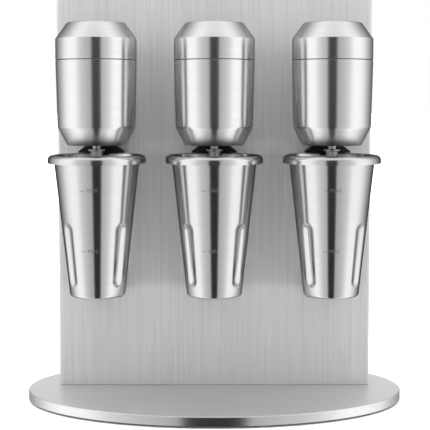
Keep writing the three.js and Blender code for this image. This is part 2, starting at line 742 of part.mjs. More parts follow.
/** A flange over a ribbed body, bored for the shaft above and the agitator below. */
function spindleHub() {
  const middle = HUB_BOTTOM + HUB_LENGTH / 2;
  const rotorBore = SHAFT_RADIUS + RUNNING_GAP;
  const agitatorBore = AGITATOR_SHAFT_RADIUS + RUNNING_GAP;
  return turned(
    [
      [rotorBore, HUB_TOP],
      [HUB_FLANGE_RADIUS, HUB_TOP],
      [HUB_FLANGE_RADIUS, HUB_TOP - HUB_FLANGE_THICKNESS],
      [HUB_BODY_RADIUS, HUB_TOP - HUB_FLANGE_THICKNESS],
      [HUB_BODY_RADIUS, HUB_BOTTOM],
      [agitatorBore, HUB_BOTTOM],
      [agitatorBore, middle],
      [rotorBore, middle],
    ],
    SMALL_SIDES,
  );
}

function agitator() {
  const discTop = AGITATOR_BOTTOM + AGITATOR_DISC_THICKNESS;
  return turned(
    [
      [0, AGITATOR_BOTTOM],
      [AGITATOR_DISC_RADIUS, AGITATOR_BOTTOM],
      [AGITATOR_DISC_RADIUS, discTop],
      [AGITATOR_SHAFT_RADIUS, discTop + AGITATOR_DISC_THICKNESS],
      [AGITATOR_SHAFT_RADIUS, AGITATOR_END],
      [0, AGITATOR_END],
    ],
    SMALL_SIDES,
  );
}

// ---- Start lever and its switch ----

/** A sloping block over the cup's rim, with a hook inside the mouth and a tail through the column. */
function startLever() {
  const rear = COLUMN_FRONT - TOUCH_GAP - HEAD_Y;
  const front = COLUMN_FRONT - LEVER_REACH - HEAD_Y;
  const top = LEVER_BOTTOM + LEVER_HEIGHT;
  const body = alongY(
    [
      [-LEVER_HALF_WIDTH, LEVER_BOTTOM],
      [LEVER_HALF_WIDTH, LEVER_BOTTOM],
      [LEVER_HALF_WIDTH, LEVER_BOTTOM + LEVER_EDGE],
      [LEVER_TOP_HALF_WIDTH, top],
      [-LEVER_TOP_HALF_WIDTH, top],
      [-LEVER_HALF_WIDTH, LEVER_BOTTOM + LEVER_EDGE],
    ],
    front,
    rear,
  );
  const mouthCurve = LEVER_HOOK_HALF_WIDTH ** 2 / (2 * CUP_MOUTH_RADIUS);
  const hookRear = CUP_MOUTH_RADIUS - CUP_WALL - MOVING_GAP - mouthCurve;
  const hook = block(
    [-LEVER_HOOK_HALF_WIDTH, hookRear - LEVER_HOOK_THICKNESS, RIM_TOP - LEVER_HOOK_DROP],
    [LEVER_HOOK_HALF_WIDTH, hookRear, LEVER_BOTTOM + LEVER_HOOK_DROP],
  );
  const tail = block(
    [-LEVER_TAIL_HALF_WIDTH, rear - LEVER_TAIL_THICKNESS, TAIL_BOTTOM],
    [LEVER_TAIL_HALF_WIDTH, rear + LEVER_TAIL_LENGTH, TAIL_BOTTOM + LEVER_TAIL_THICKNESS],
  );
  return join(body, hook, tail);
}

/** The switch body behind the lever's tail, on two legs that reach the column's front. */
function startSwitch() {
  const legFront = INNER_FRONT - HEAD_Y;
  const front = COLUMN_FRONT - HEAD_Y + LEVER_TAIL_LENGTH + MOVING_GAP;
  const inner = LEVER_TAIL_HALF_WIDTH + LEVER_SLOT_MARGIN;
  const outer = inner + SWITCH_LEG;
  const corners = [
    [-outer, legFront],
    [-inner, legFront],
    [-inner, front],
    [inner, front],
    [inner, legFront],
    [outer, legFront],
    [outer, front + SWITCH_THICKNESS],
    [-outer, front + SWITCH_THICKNESS],
  ];
  return raised(new THREE.Shape(outline(corners)), TAIL_BOTTOM, TAIL_BOTTOM + SWITCH_HEIGHT);
}

// ---- Speed switch ----

/** The bezel and body of a speed switch, with a well that its rocker turns in. */
function speedSwitch() {
  const bezelFront = COVER_REAR + TOUCH_GAP;
  const bezelRear = bezelFront + BEZEL_THICKNESS;
  const halfWidth = ROCKER_BEZEL_WIDTH / 2;
  const halfHeight = ROCKER_BEZEL_HEIGHT / 2;
  const bodyWidth = halfWidth - BEZEL_LIP - TOUCH_GAP;
  const bodyHeight = halfHeight - BEZEL_LIP - TOUCH_GAP;
  const rim = rectangle(-halfWidth, halfWidth, -halfHeight, halfHeight, BEZEL_LIP);
  const bezel = alongY(rim, bezelFront, bezelRear);
  const body = block(
    [-bodyWidth, bezelRear - ROCKER_BODY_DEPTH, -bodyHeight],
    [bodyWidth, bezelRear, bodyHeight],
  );
  const well = block(
    [-bodyWidth + ROCKER_WALL, bezelRear - ROCKER_WELL, -bodyHeight + ROCKER_WALL],
    [bodyWidth - ROCKER_WALL, bezelRear + SHEET, bodyHeight - ROCKER_WALL],
  );
  return cut(join(body, bezel), well);
}

/** A rocker with a hollow face, which turns about the middle of its well. */
function speedRocker() {
  const axisY = COVER_REAR + TOUCH_GAP + BEZEL_THICKNESS - ROCKER_WELL / 2;
  const wellHalfHeight = ROCKER_BEZEL_HEIGHT / 2 - BEZEL_LIP - TOUCH_GAP - ROCKER_WALL;
  const halfHeight = wellHalfHeight - 2 * ROCKER_GAP;
  const halfWidth = ROCKER_BEZEL_WIDTH / 2 - BEZEL_LIP - TOUCH_GAP - ROCKER_WALL - ROCKER_GAP;
  const corners = [
    [axisY + ROCKER_WELL / 2 + BEZEL_THICKNESS, halfHeight - ROCKER_GAP / 2],
    [axisY + ROCKER_WELL / 3, 0],
    [axisY + ROCKER_WELL / 2 + BEZEL_THICKNESS, ROCKER_GAP / 2 - halfHeight],
    [axisY, -halfHeight],
    [axisY - ROCKER_WELL / 4, 0],
    [axisY, halfHeight],
  ];
  return alongX(corners, -halfWidth, halfWidth);
}

// ---- Cup ----

/** Radius of the wall's outside at a height above the cup's bottom. */
function cupRadius(height) {
  return CUP_BOTTOM_RADIUS + ((CUP_MOUTH_RADIUS - CUP_BOTTOM_RADIUS) * height) / CUP_HEIGHT;
}

/** Presses the flutes into both sides of the wall of a turned cup that stands on Z = 0. */
function pressFlutes(geometry) {
  const position = geometry.attributes.position;
  const low = FLUTE_BOTTOM + FLUTE_RUN_OUT - TOUCH_GAP;
  const high = FLUTE_BOTTOM + FLUTE_LENGTH - FLUTE_RUN_OUT + TOUCH_GAP;
  const pitch = (2 * Math.PI) / FLUTE_COUNT;
  const halfAngle = THREE.MathUtils.degToRad(FLUTE_HALF_ANGLE);
  for (let i = 0; i < position.count; i += 1) {
    const [x, y, z] = [position.getX(i), position.getY(i), position.getZ(i)];
    const fromFirst = Math.atan2(x, y);
    const away = Math.abs(fromFirst - pitch * Math.round(fromFirst / pitch));
    if (z > low && z < high && away < halfAngle) {
      const press = FLUTE_DEPTH * Math.cos((Math.PI * away) / (2 * halfAngle)) ** 2;
      const share = 1 - press / Math.hypot(x, y);
      position.setXY(i, x * share, y * share);
    }
  }
  geometry.computeVertexNormals();
  return geometry;
}

function cup() {
  const ringHeights = [
    FLUTE_BOTTOM,
    FLUTE_BOTTOM + FLUTE_RUN_OUT,
    FLUTE_BOTTOM + FLUTE_LENGTH - FLUTE_RUN_OUT,
    FLUTE_BOTTOM + FLUTE_LENGTH,
  ];
  const rimUnderside = CUP_HEIGHT - 2 * CUP_WALL;
  return pressFlutes(
    turned(
      [
        [0, 0],
        [cupRadius(0), 0, CUP_BOTTOM_ROUND],
        ...ringHeights.map((height) => [cupRadius(height), height]),
        [cupRadius(rimUnderside), rimUnderside],
        [RIM_RADIUS - CUP_WALL, rimUnderside, RIM_ROUND - CUP_WALL],
        [RIM_RADIUS - CUP_WALL, CUP_HEIGHT - RIM_HEIGHT],
        [RIM_RADIUS, CUP_HEIGHT - RIM_HEIGHT],
        [RIM_RADIUS, CUP_HEIGHT, RIM_ROUND],
        [CUP_MOUTH_RADIUS - CUP_WALL, CUP_HEIGHT],
        ...ringHeights.toReversed().map((height) => [cupRadius(height) - CUP_WALL, height]),
        [cupRadius(CUP_WALL) - CUP_WALL, CUP_WALL, CUP_BOTTOM_ROUND - CUP_WALL],
        [0, CUP_WALL],
      ],
      CUP_SIDES,
    ),
  );
}

/** A shelf under the rear of the cup, with an upstand behind the cup and a flange on the column. */
function cupRest() {
  const rear = COLUMN_FRONT - TOUCH_GAP - HEAD_Y;
  const top = CUP_BOTTOM - TOUCH_GAP;
  const stop = cupRadius(REST_STOP_HEIGHT) + TOUCH_GAP;
  const front = cupRadius(0) - REST_SUPPORT;
  const corners = [
    [rear, top - REST_THICKNESS - REST_FOOT],
    [rear, top],
    [stop + REST_STOP_THICKNESS, top],
    [stop + REST_STOP_THICKNESS, top + REST_STOP_HEIGHT],
    [stop, top + REST_STOP_HEIGHT],
    [stop, top],
    [front, top],
    [front, top - REST_THICKNESS, 2],
    [rear - REST_FOOT_THICKNESS, top - REST_THICKNESS],
    [rear - REST_FOOT_THICKNESS, top - REST_THICKNESS - REST_FOOT],
  ];
  return alongX(corners, -REST_HALF_WIDTH, REST_HALF_WIDTH);
}

// ---- Heads ----

/** One head's pieces about its own axis. */
function buildHead(side) {
  const group = new THREE.Group();
  group.add(piece(`motor_cap_${side}`, motorCap(), brushedSteel));
  group.add(piece(`motor_housing_${side}`, motorHousing(), brushedSteel));
  group.add(piece(`motor_stator_${side}`, motorStator(), copperAndIron));
  group.add(piece(`motor_rotor_${side}`, motorRotor(), plainSteel));
  group.add(piece(`cooling_fan_${side}`, coolingFan(), greyPlastic));
  group.add(piece(`upper_bearing_${side}`, bearing(UPPER_BEARING_BOTTOM), plainSteel));
  group.add(piece(`lower_bearing_${side}`, bearing(LOWER_BEARING_BOTTOM), plainSteel));
  group.add(piece(`head_bracket_${side}`, headBracket(), brushedSteel));
  group.add(piece(`spindle_hub_${side}`, spindleHub(), chrome));
  group.add(piece(`agitator_${side}`, agitator(), polishedSteel));
  group.add(piece(`start_lever_${side}`, startLever(), blackPlastic));
  group.add(piece(`start_switch_${side}`, startSwitch(), greyPlastic));
  group.add(piece(`cup_rest_${side}`, cupRest(), blackPlastic));
  const cupPiece = piece(`cup_${side}`, cup(), polishedSteel);
  cupPiece.position.z = CUP_BOTTOM;
  group.add(cupPiece);
  group.position.set(HEADS[side], HEAD_Y, 0);
  return group;
}

/** One head's speed switch on the rear cover. */
function buildSpeedSwitch(side) {
  const group = new THREE.Group();
  group.add(piece(`speed_switch_${side}`, speedSwitch(), blackPlastic));
  group.add(piece(`speed_rocker_${side}`, speedRocker(), blackPlastic));
  group.position.set(HEADS[side], 0, ROCKER_Z);
  return group;
}

const mixer = new THREE.Group();
mixer.name = "milkshake_mixer";
mixer.add(buildBase(), buildColumn());
for (const side of Object.keys(HEADS)) mixer.add(buildHead(side), buildSpeedSwitch(side));

export default mixer;
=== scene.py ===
"""Looks of a countertop milkshake mixer with three heads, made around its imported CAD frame.

Every sub-assembly is a class whose fields are its sizes in millimetres. Its methods make the meshes
and give them their finish. Places come from the boxes of the CAD nodes.
"""

import logging
import math
from collections.abc import Iterable, Sequence
from dataclasses import dataclass, field
from enum import Enum
from typing import ClassVar, NamedTuple

import bmesh
import bpy
from mathutils import Matrix, Vector

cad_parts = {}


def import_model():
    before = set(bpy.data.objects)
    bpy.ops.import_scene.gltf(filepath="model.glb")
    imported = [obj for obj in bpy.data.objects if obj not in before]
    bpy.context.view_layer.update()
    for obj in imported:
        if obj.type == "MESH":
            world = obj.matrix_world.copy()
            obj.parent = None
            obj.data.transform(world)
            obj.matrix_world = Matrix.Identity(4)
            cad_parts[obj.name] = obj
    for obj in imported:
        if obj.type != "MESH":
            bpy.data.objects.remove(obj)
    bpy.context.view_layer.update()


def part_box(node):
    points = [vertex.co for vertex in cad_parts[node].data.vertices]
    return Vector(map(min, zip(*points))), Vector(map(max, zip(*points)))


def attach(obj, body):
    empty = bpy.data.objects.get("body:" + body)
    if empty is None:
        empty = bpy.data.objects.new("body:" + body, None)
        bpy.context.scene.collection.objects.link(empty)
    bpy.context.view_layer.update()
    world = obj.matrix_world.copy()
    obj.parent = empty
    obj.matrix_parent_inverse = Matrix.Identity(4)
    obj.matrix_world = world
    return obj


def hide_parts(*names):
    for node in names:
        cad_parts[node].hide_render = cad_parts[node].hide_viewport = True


LOG = logging.getLogger("mixer")
MM = 0.001
SIDES = ("left", "middle", "right")
NEAR = 0.01  # millimetres within which two places count as the same
NOISE_RANGE = (0.3, 0.7)  # where nearly all of a noise pattern's values lie
SLOT_REACH = 0.55  # of a screw's cross slot, as a share of the head's radius
SLOT_HALF_WIDTH = 0.13
MOULDED_EDGE = 0.35  # rounding of a thin moulding's edges
CAD_MERGE = 0.002  # millimetres between corners of a CAD mesh that are one corner
CAD_SHARP = 35  # degrees over which an edge of a CAD mesh gets rounded

Corner = tuple[float, ...]
Colour = tuple[float, float, float]
Socket = bpy.types.NodeSocket


# ---- Node graphs ----


class Graph:
    """A node tree that is filled in by short calls."""

    def __init__(self, tree: bpy.types.NodeTree) -> None:
        """Takes the tree to fill in.

        Args:
            tree: A material's or the world's node tree.
        """
        self.tree = tree

    def node(self, kind: str, **settings: object) -> bpy.types.Node:
        """Adds a node.

        Args:
            kind: The node's type.
            settings: Values of the node's own properties.

        Returns:
            The new node.
        """
        made = self.tree.nodes.new(kind)
        for name, value in settings.items():
            setattr(made, name, value)
        return made

    def feed(self, socket: Socket, value: object) -> None:
        """Links an output to a socket, or sets the socket's value.

        Args:
            socket: The input to fill.
            value: An output, a plain value, or None to leave the input as it is.
        """
        if isinstance(value, bpy.types.NodeSocket):
            self.tree.links.new(value, socket)
        elif value is not None:
            socket.default_value = value

    def math(self, operation: str, *values: object) -> Socket:
        """A Math node's result.

        Args:
            operation: The node's operation.
            values: One to three numbers or outputs.

        Returns:
            The node's output.
        """
        made = self.node("ShaderNodeMath", operation=operation)
        for socket, value in zip(made.inputs, values):
            self.feed(socket, value)
        return made.outputs[0]

    def vector(self, operation: str, *values: object) -> Socket:
        """A Vector Math node's vector result.

        Args:
            operation: The node's operation.
            values: One or two vectors or outputs.

        Returns:
            The node's vector output.
        """
        made = self.node("ShaderNodeVectorMath", operation=operation)
        for socket, value in zip(made.inputs, values):
            self.feed(socket, value)
        return made.outputs["Vector"]

    def noise(self, coordinates: Socket, scale: float, detail: float = 2.0) -> Socket:
        """A noise pattern's value.

        Args:
            coordinates: The vector it is read at.
            scale: Repeats to a unit of the vector.
            detail: How many finer layers it has.

        Returns:
            A value around one half.
        """
        made = self.node("ShaderNodeTexNoise")
        self.feed(made.inputs["Vector"], coordinates)
        made.inputs["Scale"].default_value = scale
        made.inputs["Detail"].default_value = detail
        return made.outputs[0]

    def remap(self, value: Socket, source: Corner, target: Corner, smooth: bool = False) -> Socket:
        """A value carried from one range to another, held at both ends.

        Args:
            value: What is carried over.
            source: The range it has.
            target: The range it gets.
            smooth: Whether it eases in and out.

        Returns:
            The new value.
        """
        shape = "SMOOTHSTEP" if smooth else "LINEAR"
        made = self.node("ShaderNodeMapRange", interpolation_type=shape)
        for socket, given in zip(made.inputs, (value, *source, *target)):
            self.feed(socket, given)
        return made.outputs[0]

    def mix(self, share: Socket, first: object, second: object) -> Socket:
        """A value between two others.

        Args:
            share: How much of the second is used, from 0 to 1.
            first: A number or an output.
            second: A number or an output.

        Returns:
            The value between.
        """
        made = self.node("ShaderNodeMix", data_type="FLOAT")
        for name, given in (("Factor", share), ("A", first), ("B", second)):
            self.feed(made.inputs[name], given)
        return made.outputs[0]

    def ramp(self, value: Socket, stops: Sequence[tuple[float, float]]) -> Socket:
        """A grey ramp.

        Args:
            value: Where the ramp is read, from 0 to 1.
            stops: Places and the grey at each.

        Returns:
            The grey.
        """
        made = self.node("ShaderNodeValToRGB")
        elements = made.color_ramp.elements
        for place, _ in stops[2:]:
            elements.new(place)
        for element, (place, grey) in zip(elements, stops):
            element.position = place
            element.color = (grey, grey, grey, 1.0)
        self.feed(made.inputs[0], value)
        return made.outputs[0]

    def tint(self, colour: Colour, shade: Socket) -> Socket:
        """A colour made lighter or darker.

        Args:
            colour: The plain colour.
            shade: What it is multiplied by.

        Returns:
            The shaded colour.
        """
        return self.vector("MULTIPLY", shade, colour)

    def bump(self, height: Socket, distance: float, strength: float = 1.0) -> Socket:
        """A normal tilted by a height.

        Args:
            height: The pattern's height, from 0 to 1.
            distance: The depth of the pattern in metres.
            strength: How much of it is used.

        Returns:
            The normal.
        """
        made = self.node("ShaderNodeBump")
        made.inputs["Strength"].default_value = strength
        made.inputs["Distance"].default_value = distance
        self.feed(made.inputs["Height"], height)
        return made.outputs[0]

    def stretched(self, spacing: Corner) -> Socket:
        """The piece's own coordinates, counted in spacings along each axis.

        Args:
            spacing: Millimetres to a unit along X, Y and Z.

        Returns:
            The counted coordinates.
        """
        place = self.node("ShaderNodeTexCoord").outputs["Object"]
        return self.vector("MULTIPLY", place, tuple(1 / (MM * size) for size in spacing))


# ---- Finishes ----


class Grain(Enum):
    """The way that a sheet's brushing runs."""

    UPRIGHT = "upright"
    ACROSS = "across"
    ROUND = "round"

    def spacing(self, width: float, length: float) -> Corner:
        """How wide the brush lines are along X, Y and Z.

        Args:
            width: A line's width in millimetres.
            length: Its length.

        Returns:
            The spacing along the three axes.
        """
        along = {Grain.UPRIGHT: (0, 0, 1), Grain.ACROSS: (1, 0, 0), Grain.ROUND: (1, 1, 0)}[self]
        return tuple(length if runs else width for runs in along)

    def spread(self, graph: Graph) -> Socket:
        """The direction that a highlight spreads in, square to the brush lines.

        Args:
            graph: The material's graph.

        Returns:
            The tangent for the shader.
        """
        normal = graph.node("ShaderNodeNewGeometry").outputs["Normal"]
        axis = {
            Grain.UPRIGHT: (0.0, 0.05, 1.0),
            Grain.ACROSS: (1.0, 0.04, 0.02),
            Grain.ROUND: (0.02, 0.03, 1.0),
        }[self]
        lines = graph.vector("CROSS_PRODUCT", normal, axis)
        if self is Grain.ROUND:
            return graph.vector("CROSS_PRODUCT", normal, lines)
        return lines


@dataclass(frozen=True)
class BrushedSteel:
    """Stainless sheet with brush lines."""

    name: str
    grain: Grain
    colour: Colour = (0.9, 0.9, 0.905)
    roughness: float = 0.3
    anisotropy: float = 0.8
    line_width: float = 0.55
    line_length: float = 90.0
    contrast: float = 0.05
    metallic: float = 1.0
    # Specular tint at grazing angles: below 1 it paints shade along the silhouettes, standing for
    # the dark reflection of what lies behind.
    painted_edge_shade: float = 1.0
    depth: float = 0.002
    fine_share: float = 0.65
    broad_width: float = 7.0
    broad_length: float = 3.0

    def material(self) -> bpy.types.Material:
        """Makes the finish's material.

        Returns:
            The material.
        """
        made, graph, shader = new_material(self.name)
        fine_spacing = self.grain.spacing(self.line_width, self.line_length)
        fine = graph.noise(graph.stretched(fine_spacing), 1.0, 3.0)
        broad_spacing = self.grain.spacing(
            self.line_width * self.broad_width, self.line_length * self.broad_length
        )
        broad = graph.noise(graph.stretched(broad_spacing), 1.0, 2.0)
        fine_part = graph.math("MULTIPLY", fine, self.fine_share)
        broad_part = graph.math("MULTIPLY", broad, 1 - self.fine_share)
        lines = graph.math("ADD", fine_part, broad_part)
        shade = graph.remap(lines, NOISE_RANGE, (1 - self.contrast, 1 + self.contrast))
        graph.feed(shader.inputs["Base Color"], graph.tint(self.colour, shade))
        rough = graph.remap(lines, NOISE_RANGE, (self.roughness * 1.08, self.roughness * 0.92))
        graph.feed(shader.inputs["Roughness"], rough)
        graph.feed(shader.inputs["Normal"], graph.bump(fine, self.depth * MM, 0.5))
        graph.feed(shader.inputs["Tangent"], self.grain.spread(graph))
        shader.inputs["Metallic"].default_value = self.metallic
        shader.inputs["Anisotropic"].default_value = self.anisotropy
        # The specular tint darkens the edges: painted shade along the silhouettes.
        shader.inputs["Specular Tint"].default_value = (self.painted_edge_shade,) * 3 + (1.0,)
        return made


@dataclass(frozen=True)
class PlainMetal:
    """Metal without brush lines: plated, ground, etched or painted."""

    name: str
    colour: Colour
    roughness: float
    metallic: float = 1.0
    grain_size: float = 1.2
    variation: float = 0.08
    depth: float = 0.01

    def material(self) -> bpy.types.Material:
        """Makes the finish's material.

        Returns:
            The material.
        """
        made, graph, shader = new_material(self.name)
        grains = graph.noise(graph.stretched((self.grain_size,) * 3), 1.0, 3.0)
        shade = graph.remap(grains, NOISE_RANGE, (1 - self.variation, 1 + self.variation))
        graph.feed(shader.inputs["Base Color"], graph.tint(self.colour, shade))
        rough = graph.remap(grains, NOISE_RANGE, (self.roughness * 0.9, self.roughness * 1.1))
        graph.feed(shader.inputs["Roughness"], rough)
        graph.feed(shader.inputs["Normal"], graph.bump(grains, self.depth * MM, 0.4))
        shader.inputs["Metallic"].default_value = self.metallic
        return made


@dataclass(frozen=True)
class Moulded:
    """Moulded plastic or rubber with a fine spark-eroded texture."""

    name: str
    colour: Colour
    roughness: float = 0.42
    texture_size: float = 0.35
    depth: float = 0.02
    sheen: float = 0.0
    gloss: float = 0.35
    cloud_size: float = 24.0

    def material(self) -> bpy.types.Material:
        """Makes the finish's material.

        Returns:
            The material.
        """
        made, graph, shader = new_material(self.name)
        texture = graph.noise(graph.stretched((self.texture_size,) * 3), 1.0, 3.0)
        cloud = graph.noise(graph.stretched((self.cloud_size,) * 3), 1.0, 2.0)
        shade = graph.remap(cloud, NOISE_RANGE, (0.88, 1.12))
        graph.feed(shader.inputs["Base Color"], graph.tint(self.colour, shade))
        rough = graph.remap(texture, NOISE_RANGE, (self.roughness * 0.9, self.roughness * 1.1))
        graph.feed(shader.inputs["Roughness"], rough)
        graph.feed(shader.inputs["Normal"], graph.bump(texture, self.depth * MM, 0.5))
        shader.inputs["Sheen Weight"].default_value = self.sheen
        shader.inputs["Specular IOR Level"].default_value = self.gloss
        return made


@dataclass(frozen=True)
class Laminated:
    """A stack of thin varnished sheets, or copper turns, seen from the side."""

    name: str
    colour: Colour
    sheet: float
    metallic: float
    roughness: float = 0.45
    stain_size: float = 9.0
    depth: float = 0.05

    def material(self) -> bpy.types.Material:
        """Makes the finish's material.

        Returns:
            The material.
        """
        made, graph, shader = new_material(self.name)
        waves = graph.node("ShaderNodeTexWave", bands_direction="Z")
        waves.inputs["Scale"].default_value = 0.5
        waves.inputs["Distortion"].default_value = 0.3
        graph.feed(waves.inputs["Vector"], graph.stretched((self.sheet,) * 3))
        lines = waves.outputs["Fac"]
        stain = graph.noise(graph.stretched((self.stain_size,) * 3), 1.0, 3.0)
        bands = graph.remap(lines, (0, 1), (0.6, 1.1))
        patches = graph.remap(stain, NOISE_RANGE, (0.8, 1.15))
        shade = graph.math("MULTIPLY", bands, patches)
        graph.feed(shader.inputs["Base Color"], graph.tint(self.colour, shade))
        rough = graph.remap(stain, NOISE_RANGE, (self.roughness, self.roughness * 1.3))
        graph.feed(shader.inputs["Roughness"], rough)
        graph.feed(shader.inputs["Normal"], graph.bump(lines, self.depth * MM, 0.6))
        shader.inputs["Metallic"].default_value = self.metallic
        return made


Finish = BrushedSteel | PlainMetal | Moulded | Laminated


def new_material(name: str) -> tuple[bpy.types.Material, Graph, bpy.types.Node]:
    """Starts a material.

    Args:
        name: The material's name.

    Returns:
        The material, its graph and its shader.
    """
    made = bpy.data.materials.new(name)
    made.use_nodes = True
    graph = Graph(made.node_tree)
    return made, graph, made.node_tree.nodes["Principled BSDF"]


class Finishes:
    """The mixer's finishes, each made once."""

    PLATE = BrushedSteel(
        "plate_steel",
        Grain.UPRIGHT,
        (0.74, 0.745, 0.75),
        roughness=0.4,
        anisotropy=1.0,
        line_width=0.8,
        contrast=0.11,
        metallic=0.65,
    )
    BASE = BrushedSteel(
        "base_steel",
        Grain.ACROSS,
        (0.66, 0.665, 0.67),
        roughness=0.42,
        anisotropy=0.4,
        metallic=0.8,
    )
    # The low specular tint paints shade along the heads' silhouettes.
    HEAD = BrushedSteel("head_steel", Grain.ROUND, roughness=0.24, contrast=0.035, painted_edge_shade=0.3)
    RIM = BrushedSteel("rim_steel", Grain.ACROSS, roughness=0.22)
    CUP = BrushedSteel(
        "cup_steel",
        Grain.ROUND,
        (0.82, 0.82, 0.825),
        roughness=0.2,
        contrast=0.03,
        # The low specular tint paints shade along the cups' flanks.
        painted_edge_shade=0.1,
    )
    CHROME = PlainMetal("chrome", (0.8, 0.8, 0.81), 0.2, variation=0.03, depth=0.002)
    SHAFT = PlainMetal("ground_steel", (0.62, 0.62, 0.63), 0.22)
    ETCH = PlainMetal("etched_steel", (0.33, 0.33, 0.34), 0.6, grain_size=0.3)
    ZINC = PlainMetal("zinc_plate", (0.55, 0.57, 0.58), 0.38, grain_size=6.0, variation=0.15)
    PRIMER = PlainMetal("black_primer", (0.05, 0.05, 0.052), 0.6, metallic=0.0, grain_size=0.8)
    BRASS = PlainMetal("nickel_brass", (0.66, 0.62, 0.5), 0.25)
    BLACK = Moulded("black_plastic", (0.008, 0.008, 0.009), 0.36)
    GREY = Moulded("grey_plastic", (0.11, 0.11, 0.12), 0.5)
    FLAG = Moulded("black_cloth", (0.015, 0.015, 0.015), 0.9)
    RUBBER = Moulded("rubber", (0.02, 0.02, 0.02), 0.75, texture_size=0.8, sheen=0.1)
    MARKING = Moulded("white_marking", (0.75, 0.75, 0.74), 0.5)
    IRON = Laminated("varnished_laminations", (0.2, 0.17, 0.15), 0.5, 0.7)
    COPPER = Laminated("copper_windings", (0.62, 0.27, 0.12), 0.6, 1.0, 0.3)

    _made: ClassVar[dict[str, bpy.types.Material]] = {}

    @classmethod
    def get(cls, finish: Finish) -> bpy.types.Material:
        """The material of a finish, made on its first use.

        Args:
            finish: The finish.

        Returns:
            Its material.
        """
        if finish.name not in cls._made:
            cls._made[finish.name] = finish.material()
        return cls._made[finish.name]


# ---- Making pieces ----


def rounded(corners: Sequence[Corner], steps: int) -> list[tuple[float, float]]:
    """The points of an open outline.

    Args:
        corners: Places in the plane, with a radius third where the corner is rounded.
        steps: Straight steps in each arc.

    Returns:
        The outline's points.
    """
    points = [tuple(corners[0][:2])]
    for before, corner, after in zip(corners, corners[1:], corners[2:]):
        at = Vector(corner[:2])
        if len(corner) < 3:
            points.append(tuple(at))
            continue
        back = (Vector(before[:2]) - at).normalized()
        onward = (Vector(after[:2]) - at).normalized()
        half = back.angle(onward) / 2
        reach = corner[2] / math.tan(half)
        centre = at + (back + onward).normalized() * (corner[2] / math.sin(half))
        start = at + back * reach - centre
        end = at + onward * reach - centre
        first = math.atan2(start.y, start.x)
        turn = math.atan2(start.x * end.y - start.y * end.x, start.dot(end))
        for step in range(steps + 1):
            angle = first + turn * step / steps
            across = centre.x + corner[2] * math.cos(angle)
            points.append((across, centre.y + corner[2] * math.sin(angle)))
    points.append(tuple(corners[-1][:2]))
    return points


